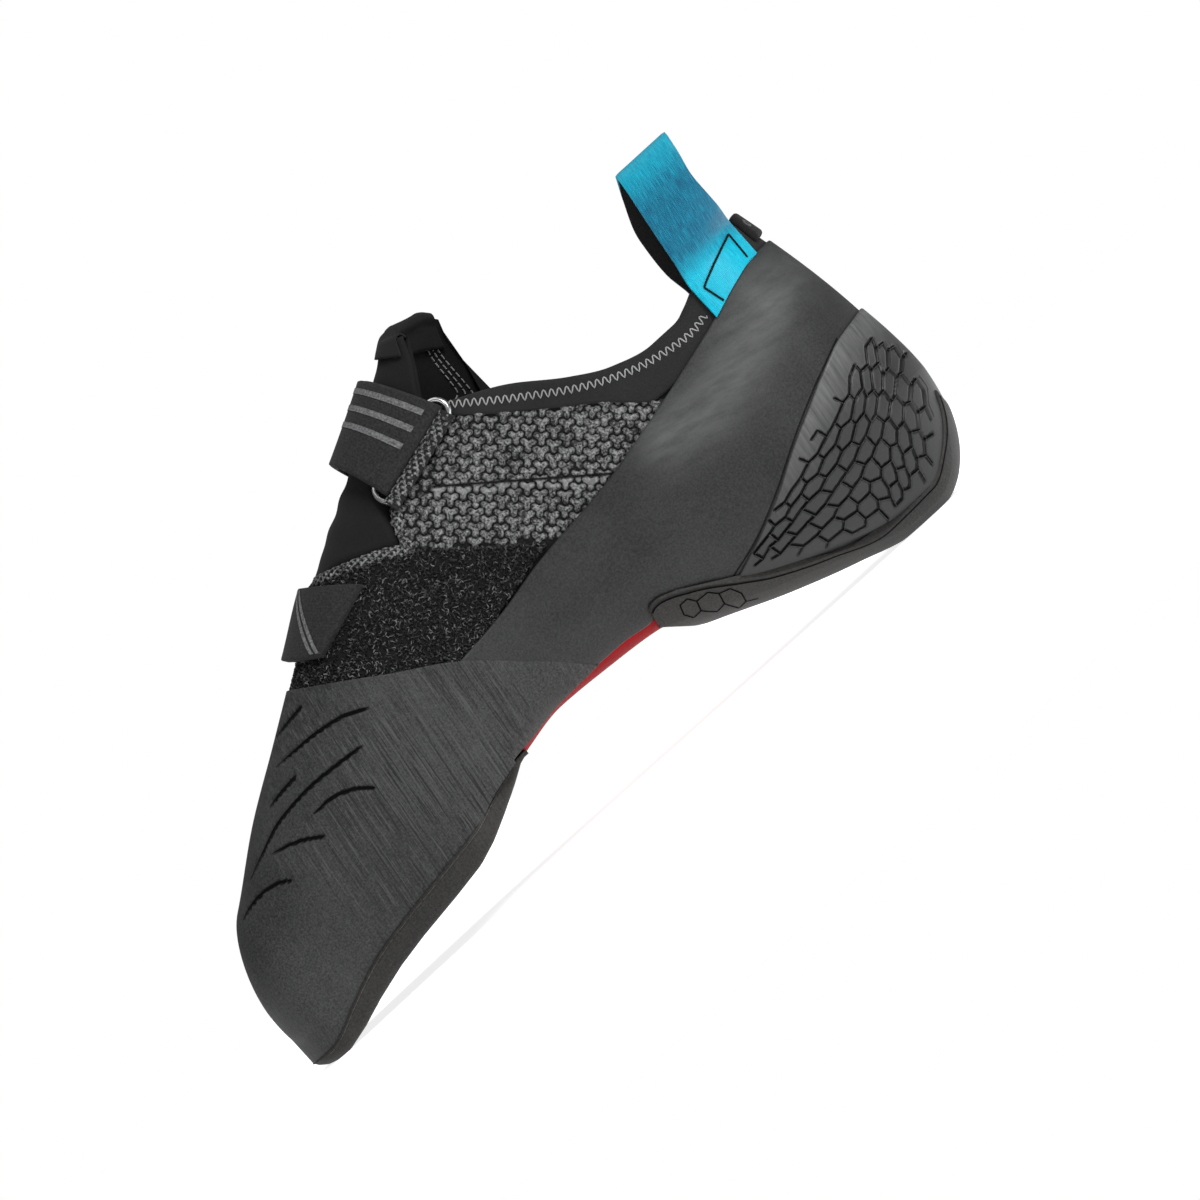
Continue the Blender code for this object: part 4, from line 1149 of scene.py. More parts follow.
class SHOE_OT_soles(bpy.types.Operator):
    """Front outsole, heel sole and the plate under the arch"""

    bl_idname = "shoe.soles"
    bl_label = "Soles"

    def execute(self, context):
        self.outsole()
        self.heel_sole()
        self.plate()
        return {"FINISHED"}

    def outsole(self):
        """Front outsole, and a pale strip of painted highlight along its upper edge."""
        x = OUTSOLE_END - (OUTSOLE_END - 5.01) * np.sin(np.linspace(0, math.pi / 2, 90))
        z = np.where(x < 17, np.interp(x, [5, 17], [16.5, 20]), column("wide", x))
        halves = []
        for side in SIDES:
            wall = on_last(np.stack([x, z], axis=-1), side)
            out = unit(outward(wall) * (1, 1, 0))
            plan = wall + out * np.interp(x, [5, 16], [4.3, OUTSOLE_SIDE])[:, None]
            part = np.clip((plan[:, 0] - 72) / 27, 0, 1)
            plan[:, 1] -= side * 9 * part**2
            halves.append(plan)
        spine_x = np.maximum(x, 24.0)
        spine_y = np.interp(spine_x, x[::-1], ((halves[0] + halves[1]) / 2)[::-1, 1])
        spine = np.stack([spine_x, spine_y], axis=-1)
        walls = [self.outsole_section(plan, spine) for plan in halves]
        points = np.concatenate([walls[0], walls[1][:, ::-1]], axis=1)
        piece = new_piece("outsole_rubber", sealed(grid_bmesh(points, grid_map(points)), 2e-5))
        rubber = rubber_finish("sole_rubber", colours().sole, 0.35, 0.56)
        finish_piece(piece, rubber, ("front_outsole",), 50)
        # Pale strip of painted highlight along the outsole's upper edge on both sides.
        works = []
        for side, rows in zip(SIDES, walls):
            edge = rows[5, 4:70] + (0, side * 0.12, -0.6)
            works.append(floor_strip(edge, np.tile([0.0, side, 0.15], (len(edge), 1)), 0.12))
        painted_shine = rubber_finish("edge_highlight_paint", mix(colours().sole, 3.6))
        finish_piece(joined("sole_edge_highlight", works), painted_shine)

    def outsole_section(self, plan, spine):
        """Rows of the outsole from its top middle out, down the wall and in along the ground."""
        top = smooth_value(*np.array(OUTSOLE_TOP_EDGE).T, plan[:, 0])
        way = spine - plan[:, :2]
        length = np.maximum(np.linalg.norm(way, axis=1), 1e-6)
        rows = []

        def row(inset, z):
            flat = plan[:, :2] + way * np.minimum(inset / length, 1.0)[:, None]
            rows.append(np.column_stack([flat, z(flat[:, 0]) if callable(z) else z]))

        def ground_at(x):
            return np.minimum(np.interp(x, *np.array(OUTSOLE_UNDERSIDE).T), top - 0.6)

        def inner(x):
            return np.maximum(column("bottom", np.maximum(x, 20)) - 4.4, ground_at(x) + 0.5)

        row(length, inner)
        row(9.0, inner)
        for inset, drop in ((4.6, 0.3), (1.0, 0.0), (0.25, 0.1), (0.0, 0.45)):
            row(inset, top - drop)
        ground = ground_at(plan[:, 0])
        tall = top - ground
        round_off = np.minimum(1.8, tall * 0.45)
        for part in (0.3, 0.65, 1.0):
            row(0.0, top - 0.45 - (tall - 0.45 - round_off) * part)
        for angle in np.linspace(0, math.pi / 2, 7)[1:]:
            row(round_off * (1 - math.cos(angle)), ground + round_off * (1 - math.sin(angle)))
        for inset in (4.0, 8.0, 14.0, 22.0, length):
            row(inset, ground_at)
        return np.array(rows)

    def heel_sole(self):
        """Sole wrapped under and around the heel."""
        base = seated(traced(HEEL_SOLE_EDGE, np.linspace(0, 1, 150)), HEEL_SOLE_TOP)
        x, start = base[base[:, 0] < 243.6].T
        end = np.minimum(heights(x)[0], start)
        grid = lay(columns_between(x, start, end, eased(CROSS_SAMPLES)), 161)
        out = outward(grid)
        edge_gap = edge_distance(grid, True)
        cut = 0.5 * np.clip(1 - np.abs(edge_gap - 0.7) / 0.35, 0, 1)
        back = np.clip((grid[..., 0] - 231) / 11, 0, 1) * (1 - out[..., 1] ** 2)
        depth = HEEL_SOLE_TOP + 0.5 * back - self.flank(out) - rolled(edge_gap, 0.35) - cut * 0.25
        top = raised(grid, out, depth)
        ground = np.interp(top[..., 0], *np.array(HEEL_SOLE_UNDERSIDE).T)
        top[..., 2] = np.maximum(top[..., 2], ground)
        under = grid + out * 3.9
        under[..., 2] = np.maximum(under[..., 2], ground + 0.4)
        piece = closed_skin("heel_sole_rubber", top, under, {"groove": cut})
        # The groove mark also gives the painted shade in the edge groove.
        rubber = rubber_finish("heel_sole_rubber", colours().sole, 0.2, 0.56, grooves=True)
        finish_piece(piece, rubber, ("heel_sole",), 40)
        self.sole_grooves(top, out)

    def flank(self, out):
        """How much thinner the heel sole is where it faces sideways."""
        return HEEL_SOLE_FLANK * np.clip((np.abs(out[..., 1]) - 0.45) / 0.4, 0, 1)

    def sole_grooves(self, top, out):
        """Black lines of painted shadow in the heel sole's cells and in its edge groove."""
        works = []
        part = np.linspace(0, 1, 6)[:, None]
        for side in SIDES:
            for line in HEEL_SOLE_CELLS:
                corners = rolled_place(line)
                for first, last in zip(corners, corners[1:]):
                    base = seated(first + (last - first) * part, HEEL_SOLE_TOP - HEEL_SOLE_FLANK, side)
                    depth = HEEL_SOLE_TOP + 0.14 - self.flank(outward(on_last(base, side)))
                    works.append(groove_floor(base, 0.2, depth, side))
        for edge in (3, -4):
            works.append(floor_strip(top[4:-2, edge] + out[4:-2, edge] * 0.12, out[4:-2, edge], 0.24))
        finish_piece(joined("sole_groove_shadows", works), cut_shadow_finish())

    def plate(self):
        """Red plate between the two soles."""
        edge = traced(((95.5, 26.2), *ARCH_EDGE, (156, 27.5)), np.linspace(0, 1, 90))
        x, start = seated(edge, PLATE_TOP).T
        grid = lay(columns_between(x, start, heights(x)[0], eased(CROSS_SAMPLES)), 121)
        out = outward(grid)
        top = raised(grid, out, PLATE_TOP - rolled(edge_distance(grid, True), 0.5))
        piece = closed_skin("arch_plate", top, grid + out * UNDER)
        finish = Finish("red_plate", 0.6, Specular_IOR_Level=0.04)
        cloud = finish.noise(finish.object_place(), 120.0, 4.0)
        red = colours().plate
        finish.set("Base Color", finish.between(cloud, mix(red, 0.8), mix(red, 1.25)))
        finish_piece(piece, finish.material, ("midsole",), 50)


class SHOE_OT_collar(bpy.types.Operator):
    """Binding folded over the collar, with its zigzag seam"""

    bl_idname = "shoe.collar"
    bl_label = "Collar binding"

    def execute(self, context):
        low = [*seated(BINDING_EDGE, BINDING_TOP), (heel_back(82.0), 82.0)]
        high = [*seated(COLLAR_EDGE, BINDING_TOP), (heel_back(93.0), 93.0)]
        shares = np.concatenate([[0, 0.02, 0.05, 0.1], np.linspace(0.16, 1, 22)])
        grid = lay(rows_between(low, high, shares), 301)
        out = outward(grid)
        outer = raised(grid, out, BINDING_TOP - rolled(run_across(grid), 0.8))
        rise = unit(grid[-1] - grid[-3])
        middle, radius = (BINDING_TOP - BINDING_TUCK) / 2, (BINDING_TOP + BINDING_TUCK) / 2
        rim = []
        for angle in np.linspace(0, math.pi, 9)[1:-1]:
            reach = middle + radius * math.cos(angle)
            rim.append(grid[-1] + out[-1] * reach + rise * radius * math.sin(angle) * 0.9)
        inner = (grid - out * BINDING_TUCK)[-1:-13:-1]
        points = np.concatenate([outer, np.array(rim), inner])
        piece = walled("collar_band", grid_bmesh(points, grid_map(points)), "Cloth", 0.4)
        finish_piece(piece, black_cloth("binding", 1.7, 2400.0), ("collar_binding",), 60)
        self.zigzag()
        return {"FINISHED"}

    def zigzag(self):
        """Light thread that runs to and fro along the collar."""
        line = traced(ZIGZAG_LINE, np.linspace(0, 1, 300))
        run = run_along(line)
        way = unit(np.gradient(line, axis=0))
        across = np.stack([-way[:, 1], way[:, 0]], axis=-1)
        at = np.arange(0.6, run[-1], 0.35)
        swing = np.resize((-1.0, -0.4, 0.7, 1.0, 0.7, -0.4), len(at))[:, None]
        flat = read_along(run, line, at) + read_along(run, across, at) * swing
        works = []
        for side in SIDES:
            path = on_last(seated(flat, BINDING_TOP, side), side)
            out = outward(path)
            works.append(tube_bmesh(path + out * (BINDING_TOP + 0.1), sizes().thread / MM, 6, up=out))
        thread = cloth_finish("light_thread", colours().thread, 2600.0, 1.4, 0.65)
        finish_piece(joined("collar_thread", works), thread)


class SHOE_OT_loop_patch(bpy.types.Operator):
    """Patch of looped pile over the instep"""

    bl_idname = "shoe.loop_patch"
    bl_label = "Pile patch"

    def execute(self, context):
        low = [*seated(PILE_FRONT, PILE_TOP), ridge_at(65.0)]
        high = [*seated((*KNIT_EDGE, *THROAT_EDGE[2:0:-1]), PILE_TOP), ridge_at(86.5)]
        grid = lay(rows_between(low, high, lipped(40, 34)), 121, stop=12.0)
        out = outward(grid)
        top = raised(grid, out, PILE_TOP - rolled(edge_distance(grid, True), 0.7))
        piece = closed_skin("pile_ground", top, grid + out * UNDER)
        finish_piece(piece, black_cloth("pile_ground", 0.7, 1800.0), ("loop_patch",))
        self.pile(grid, out)
        return {"FINISHED"}

    def pile(self, grid, out):
        """Small loops of yarn, scattered and leaning every way."""
        turn = np.linspace(0, math.pi, 4)
        arc = np.stack([0.56 * np.cos(turn), 0.2 * np.sin(2 * turn), 0.9 * np.sin(turn) - 0.2], axis=-1)
        loop = raw(tube_bmesh(arc, 0.16, 3, up=np.tile([0.0, 1.0, 0.0], (4, 1))))
        pick = np.random.default_rng(7)
        rows, count = grid.shape[:2]
        places = []
        for _ in range(sizes().pile_loops):
            i, j = pick.uniform(0, rows - 1.01), pick.uniform(0, count - 1.01)
            spin = pick.uniform(0, 2 * math.pi)
            lean = pick.normal(0, 0.45, 2)
            size = pick.uniform(0.6, 1.15)
            normal = out[int(i), int(j)]
            first = unit(np.cross(normal, (0.2, 0.1, 1.0)))
            second = np.cross(normal, first)
            up = unit(normal + first * lean[0] + second * lean[1])
            ahead = first * math.cos(spin) + second * math.sin(spin)
            ahead = unit(ahead - up * (ahead @ up))
            axes = np.array([ahead, np.cross(up, ahead), up]) * size
            places.append((grid_spot(grid, i, j) + normal * (PILE_TOP - 0.1), axes))
        finish = Finish("pile_yarn", 0.55, Specular_IOR_Level=0.25)
        fleck = finish.noise(finish.object_place(), 1600.0, 2.0) - 0.5
        tone = ((finish.mark("own_tone") ** 7.0) + fleck * 0.9).clamp()
        black = colours().cloth
        finish.set("Base Color", finish.between(tone, mix(black, 0.12), mix(black, 19.0)))
        finish_piece(repeated("pile_loops", loop, places), finish.material)


class SHOE_OT_knit(bpy.types.Operator):
    """Chunky knit of both quarters, and the rolled hems of the throat"""

    bl_idname = "shoe.knit"
    bl_label = "Knit"

    def execute(self, context):
        rand = traced(RAND_EDGE, np.linspace(0, 1, 40)) + (0.6, -2.4)
        rand = rand[rand[:, 0] < 192]
        band = traced(BINDING_EDGE[:4], np.linspace(0, 1, 20)) + (0.8, 1.0)
        medial = [*KNIT_EDGE[::-1], *rand[rand[:, 0] > 143], *band[::-1], *THROAT_TOP[::-1]]
        lateral = [ridge_at(87.0), *THROAT_EDGE[1:4], *THROAT_TOP, *band]
        lateral += [*rand[::-1], *TOE_PATCH_EDGE[2:], ridge_at(TOE_PATCH_RIDGE)]
        places = [*self.stitches(medial, MEDIAL), *self.stitches(lateral, LATERAL)]
        works = []
        for side in SIDES:
            deep, wide = (4.9, 2.3) if side == MEDIAL else (2.3, 1.1)
            for line, depth, radius, flat in (
                (TOE_HEM, 2.6, 1.7, 0.62), (CORNER_HEM, 2.6, 1.5, 0.62), (STRAP_HEM, deep, wide, 0.75),
            ):
                path = on_last(seated(traced(line, np.linspace(0, 1, 130)), depth, side), side)
                out = outward(path)
                path = path + out * depth
                ribs = radius * (1 + 0.05 * np.sin(run_along(path) * 2 * math.pi / 1.6))
                works.append(tube_bmesh(path, ribs, 12, flat, up=out))
                places += self.hem_stitches(path, out, radius, flat)
        ground = cloth_finish("hem_ground", mix(colours().knit, 0.16), 1500.0)
        finish_piece(joined("knit_hems", works), ground)
        piece = repeated("knit_stitches", self.stitch(), places)
        finish_piece(piece, self.yarn_finish(), (), 80)
        return {"FINISHED"}

    def stitch(self):
        """One stitch: a plump dome of three lobes, two arms up and a stem down."""
        work = bmesh.new()
        bmesh.ops.create_uvsphere(work, u_segments=18, v_segments=6, radius=1)
        bmesh.ops.rotate(work, verts=work.verts[:], matrix=Matrix.Rotation(math.radians(10), 3, "Z"))
        low = [vertex for vertex in work.verts if vertex.co.z < -0.01]
        bmesh.ops.delete(work, geom=low, context="VERTS")
        sealed(work)
        # Height of each point, which the yarn uses for painted shade towards the stitch's base.
        crown = work.verts.layers.float.new("crown")
        for vertex in work.verts:
            vertex[crown] = max(0.0, vertex.co.z)
            turn = math.atan2(vertex.co.y, vertex.co.x)
            lobe = (0.5 + 0.5 * math.cos(3 * (turn - math.pi / 6))) ** 0.8
            reach = 1.08 + (1.72 if vertex.co.y > -0.2 else 1.58) * lobe
            vertex.co = (vertex.co.x * reach, vertex.co.y * reach, vertex.co.z)
        bmesh.ops.recalc_face_normals(work, faces=work.faces[:])
        return work

    def stitches(self, outline, side):
        """Places of the stitches inside a side view outline, in slanting staggered rows."""
        pitch, course = sizes().stitch / MM, sizes().course / MM
        slant = math.radians(-44)
        ahead = np.array([math.cos(slant), math.sin(slant)])
        up = np.array([-math.sin(slant), math.cos(slant)])
        pick = np.random.default_rng(3)
        middle = np.array([140.0, 85.0])
        corners = [tuple(p) for p in outline]
        places = []
        for row in range(-60, 61):
            for k in range(-40, 41):
                flat = middle + ahead * (k + 0.5 * (row % 2)) * pitch + up * row * course
                if not inside_outline(flat[None], corners)[0] or flat[1] > heights(flat[:1])[1][0] - 0.4:
                    continue
                point = on_last(flat[None], side)
                out = outward(point)[0]
                along = np.array([ahead[0], 0, ahead[1]]) + pick.normal(0, 0.06, 3)
                along = unit(along - out * (along @ out))
                rise = np.cross(out, along)
                rise *= np.sign(rise[2])
                size = pick.uniform(0.92, 1.08)
                axes = np.array([along * size, rise * size, out * size * pick.uniform(0.85, 1.2)])
                places.append((point[0] + out * (UPPER_TOP - 0.05 + self.crease(flat, up)), axes))
        return places

    def crease(self, flat, up):
        """How far the knit is raised below its crease and sunk above it."""
        gap, part = line_distance(flat[None], np.array(KNIT_CREASE))
        above = (flat - traced(KNIT_CREASE, part)[0]) @ up
        if above > 0:
            return -0.45 * max(0.0, 1 - gap[0] / 3.0)
        return 0.55 * max(0.0, 1 - gap[0] / 4.0)

    def hem_stitches(self, path, out, radius, flat):
        """Staggered lines of small stitches along a rolled hem."""
        run = run_along(path)
        way = unit(np.gradient(path, axis=0))
        across = np.cross(out, way)
        places = []
        for k, at in enumerate(np.arange(0.6, run[-1] - 0.4, 0.62)):
            spot, normal, ahead, aside = (read_along(run, group, at) for group in (path, out, way, across))
            lean = (0.8, 0.0, -0.8, 0.4, -0.4)[k % 5]
            rise = normal * math.cos(lean) + aside * math.sin(lean)
            place = spot + aside * radius * math.sin(lean) + normal * radius * flat * math.cos(lean) * 0.97
            side = np.cross(rise, ahead)
            places.append((place, np.array([side * 0.42, -ahead * 0.5, rise * 0.42])))
        return places

    def yarn_finish(self):
        """Flecked yarn, with painted shade that darkens each stitch towards its base, and on the medial
        side a painted shadow along the crease with a painted lighter row of stitches below it.
        """
        finish = Finish("knit_yarn", 0.8, Sheen_Weight=0.04, Specular_IOR_Level=0.15)
        # dark is the tone of the painted shade at the stitch bases and along the crease.
        yarn, dark = colours().knit, mix(colours().cloth, 0.4)
        place = finish.object_place()
        fleck = finish.noise(place, 1500.0, 3.0, 0.7)
        patch = finish.noise(place, 260.0, 3.0, 0.6)
        shade = ((fleck - 0.5) * 3.6 + (patch - 0.5) * 1.4 + 0.33).clamp()
        tone = finish.between(shade, mix(yarn, 0.22), mix(yarn, 3.0))
        x, y, z = (finish.axis(place, name) for name in "XYZ")
        # On the medial side near the crease: a painted lighter row of stitches just below it and a painted
        # shadow along it.
        above = x * 618.0 + z * 786.0 - 79.1
        there = (y * -1000.0).clamp() * ((x - 0.0026) * 400.0).clamp() * ((0.046 - x) * 400.0).clamp()
        below = ((above * -1.0 - 0.5) * 2.0).clamp() * ((above + 3.2) * 0.8).clamp()
        tone = finish.between(below * there * 0.45, tone, mix(yarn, 2.8))
        # Painted shadow along the crease line.
        crease = (1.35 - above.math("ABSOLUTE") * 2.2).clamp()
        tone = finish.between(crease * there, tone, dark)
        # Painted shade: each stitch darkens towards its base by its height mark and is lighter on top.
        crown = (finish.mark("crown") ** 1.8 * 1.8).clamp()
        finish.set("Base Color", finish.between(crown, dark, tone))
        finish.bump(fleck, 0.8, 0.0005)
        return finish.material


class SHOE_OT_tongue(bpy.types.Operator):
    """Tongue with its folded tab and the seams inside it"""

    bl_idname = "shoe.tongue"
    bl_label = "Tongue"

    def execute(self, context):
        table = np.array(TONGUE_ROWS, float)
        at = np.linspace(0, len(table) - 1, 90)
        values = np.stack([smooth_value(np.arange(len(table)), table[:, k], at) for k in range(5)], axis=-1)
        crest = np.stack([values[:, 2], heights(values[:, 2])[1]], axis=-1)
        shares = eased(160)[None, :, None]
        medial, lateral = (
            ends[:, None] + (crest - ends)[:, None] * shares for ends in (values[:, :2], values[:, 3:])
        )
        grid = lay(medial, 141, lateral)
        out = outward(grid)
        along = run_along(grid)
        gap = np.minimum(along, along[:, -1:] - along)
        part = at[:, None]
        over = smooth_value((0, 0.3, 0.5, 0.78, 1), (0, 0.5, 1, 1, 0.25), along / along[:, -1:])
        rear = np.clip((part - 8.2) / 1.8, 0, 1) ** 1.5
        grid = grid + (over * rear)[..., None] * np.array([2.6, 0.0, 3.4])
        tucked = np.clip((7.6 - part) / 0.8, 0, 1)
        rise = np.clip((gap - 1.5) / 7.0, 0, 1)
        rise = rise * rise * (3 - 2 * rise)
        fold = 0.28 * np.sin(grid[..., 0] * 0.55 + grid[..., 2] * 0.35) * np.sin(grid[..., 2] * 0.21 + 1.0)
        depth = tucked * (-0.5 + 4.2 * rise) + (1 - tucked) * (3.7 - rolled(edge_distance(grid, True), 0.9))
        depth = depth + fold * rise
        top, under = raised(grid, out, depth), raised(grid, out, depth - TONGUE_WALL)
        piece = closed_skin("tongue_cloth", top, under)
        cloth = cloth_finish("tongue_cloth", colours().cloth, 2600.0, 1.7, 0.9)
        finish_piece(piece, cloth, ("tongue",), 60)
        self.tab(top[-9:, 6:134], under[-9:, 6:134], out[-9:, 6:134])
        self.seams(under[58:86], out[58:86])
        return {"FINISHED"}

    def tab(self, top, under, out):
        """Tape folded over the tongue's top edge."""
        outer, inner = top + out * 0.7, under - out * 0.7
        ahead = unit(top[-1] - top[-4])
        middle, half = (outer[-1] + inner[-1]) / 2, (outer[-1] - inner[-1]) / 2
        rim = []
        for angle in np.linspace(0, math.pi, 9)[1:-1]:
            rim.append(middle + half * math.cos(angle) + ahead * 1.7 * math.sin(angle))
        points = np.concatenate([outer, np.array(rim), inner[::-1]])
        piece = walled("tongue_tab_tape", grid_bmesh(points, grid_map(points)), "Tape", 0.6, 0)
        finish_piece(piece, black_cloth("tab_tape", 1.2, 2200.0), ("tongue_tab",), 60)

    def seams(self, under, out):
        """Three dashed seams on the lateral half of the tongue's inside."""
        works = []
        for column_index in (126, 121, 116):
            line, normal = under[:, column_index], out[:, column_index]
            run = run_along(line)
            for at in np.arange(0.5, run[-1] - 1.6, 2.3):
                spots = np.linspace(at, at + 1.5, 4)
                lift = read_along(run, normal, spots)
                works.append(tube_bmesh(read_along(run, line, spots) - lift * 0.15, 0.24, 5, up=lift))
        thread = cloth_finish("seam_thread", colours().thread, 2600.0, 1.3, 0.7)
        finish_piece(joined("tongue_seams", works), thread)


class SHOE_OT_straps(bpy.types.Operator):
    """Two tape straps over the instep, and the wire ring that takes the upper one"""

    bl_idname = "shoe.straps"
    bl_label = "Straps and ring"

    def execute(self, context):
        tape = self.tape_finish("strap_tape", colours().webbing)
        bars = self.tape_finish("strap_bars", colours().bars)
        strap = self.strap_grid(UPPER_STRAP)
        self.layer("upper_strap_tape", strap, TAPE_LAYER, tape, ("upper_strap",))
        self.layer("upper_strap_facing", [part[2:-2] for part in strap], FACING_LAYER, tape)
        works = []
        for first in (17, 23, 29):
            works.append(self.bar(*(part[first:first + 3, 6:96] for part in strap), FACING_LAYER[1]))
        strap = self.strap_grid(LOWER_STRAP)
        self.layer("lower_strap_tape", strap, LOWER_LAYER, tape, ("lower_strap",))
        for start in (1.8, 7.0):
            works.append(self.bar(*self.slanted(*strap, start), LOWER_LAYER[1]))
        finish_piece(joined("strap_bars", works), bars)
        self.ring()
        return {"FINISHED"}

    def strap_grid(self, strap):
        """Points along a strap from its medial end over the instep, with their way out and their depth."""
        across = lipped(30, 27, 1.0)
        shares = eased(160)[None, :, None]
        ridge_x = strap["ridge"][0] + (strap["ridge"][1] - strap["ridge"][0]) * across
        crest = np.stack([ridge_x, heights(ridge_x)[1]], axis=-1)
        rows = []
        for first, last in (seated(strap["medial"], strap["seat"]), np.array(strap["lateral"])):
            start = first + (last - first) * across[:, None]
            rows.append(start[:, None] + (crest - start)[:, None] * shares)
        grid = lay(rows[0], 161, rows[1])
        along = run_along(grid)
        part = along / along[:, -1:]
        depth = smooth_value(*np.array(strap["depth"]).T, part)
        depth = depth - strap["sag"] * across[:, None] * np.sin(np.pi * np.clip(part, 0, 1))
        return grid, outward(grid), depth - rolled(along, strap["fold"])

    def layer(self, name, strap, levels, material, nodes=()):
        """One layer of a strap between two levels above its depth, with softened edges."""
        grid, out, depth = strap
        low, high = levels
        soft = high - rolled(edge_distance(grid, True), 0.55)
        piece = closed_skin(name, raised(grid, out, depth + soft), raised(grid, out, depth + low))
        finish_piece(piece, material, nodes, 60)

    def slanted(self, grid, out, depth, start):
        """Narrow part of a strap's grid that crosses it on the slant."""
        rows = np.arange(4, grid.shape[0] - 4)
        lines = start + 44.0 * ((rows - 4) / (rows[-1] - 4)) ** 0.85
        spread = np.array([-1.6, 0, 1.6])
        steps = np.arange(grid.shape[1])
        cut = []
        for values in (*np.moveaxis(grid, 2, 0), *np.moveaxis(out, 2, 0), depth):
            cut.append([np.interp(at + spread, steps, values[row]) for row, at in zip(rows, lines)])
        cut = np.array(cut)
        return np.moveaxis(cut[:3], 0, 2), np.moveaxis(cut[3:6], 0, 2), cut[6]

    def bar(self, grid, out, depth, high):
        """Plain bar that stands just proud of a strap's face."""
        top, under = raised(grid, out, depth + high + 0.16), raised(grid, out, depth + high - 0.2)
        points = np.concatenate([under[:1], top, under[-1:]])
        return sealed(grid_bmesh(points, grid_map(points)))

    def tape_finish(self, name, colour):
        """Woven tape: ribs across it and fine warp along it."""
        finish = Finish(name, 0.8, Sheen_Weight=0.03, Specular_IOR_Level=0.15)
        place = finish.map_place()
        weave = finish.ribs(place, "X", 0.7, 0.6) * finish.ribs(place, "Y", 0.34, 0.4)
        fuzz = finish.noise(finish.object_place(), 1500.0, 3.0, 0.7)
        shade = (weave * 0.25 + (fuzz - 0.5) * 2.8 + 0.36).clamp()
        finish.set("Base Color", finish.between(shade, mix(colour, 0.55), mix(colour, 1.8)))
        finish.bump(weave * 0.2 + fuzz * 0.6, 0.5, 0.0003)
        return finish.material

    def ring(self):
        """Long rounded wire ring under the upper strap's medial end."""
        front, back = np.array(RING_ENDS)
        along = unit(back - front)
        across = np.array([-along[1], along[0]])
        half = np.linalg.norm(back - front) / 2 - RING_CORNER
        outline = []
        for turn in np.linspace(-math.pi / 2, math.pi * 1.5, 64, endpoint=False):
            end = half if math.cos(turn) > -1e-6 else -half
            corner = along * (end + RING_CORNER * math.cos(turn)) + across * RING_CORNER * math.sin(turn)
            outline.append((front + back) / 2 + corner)
        path = on_last(np.array(outline), MEDIAL)
        out = outward(path)
        wire = tube_bmesh(path + out * RING_HEIGHT, RING_WIRE, 12, up=out, closed=True)
        finish_piece(new_piece("strap_ring_wire", wire), wire_finish(), ("strap_ring",), 60)


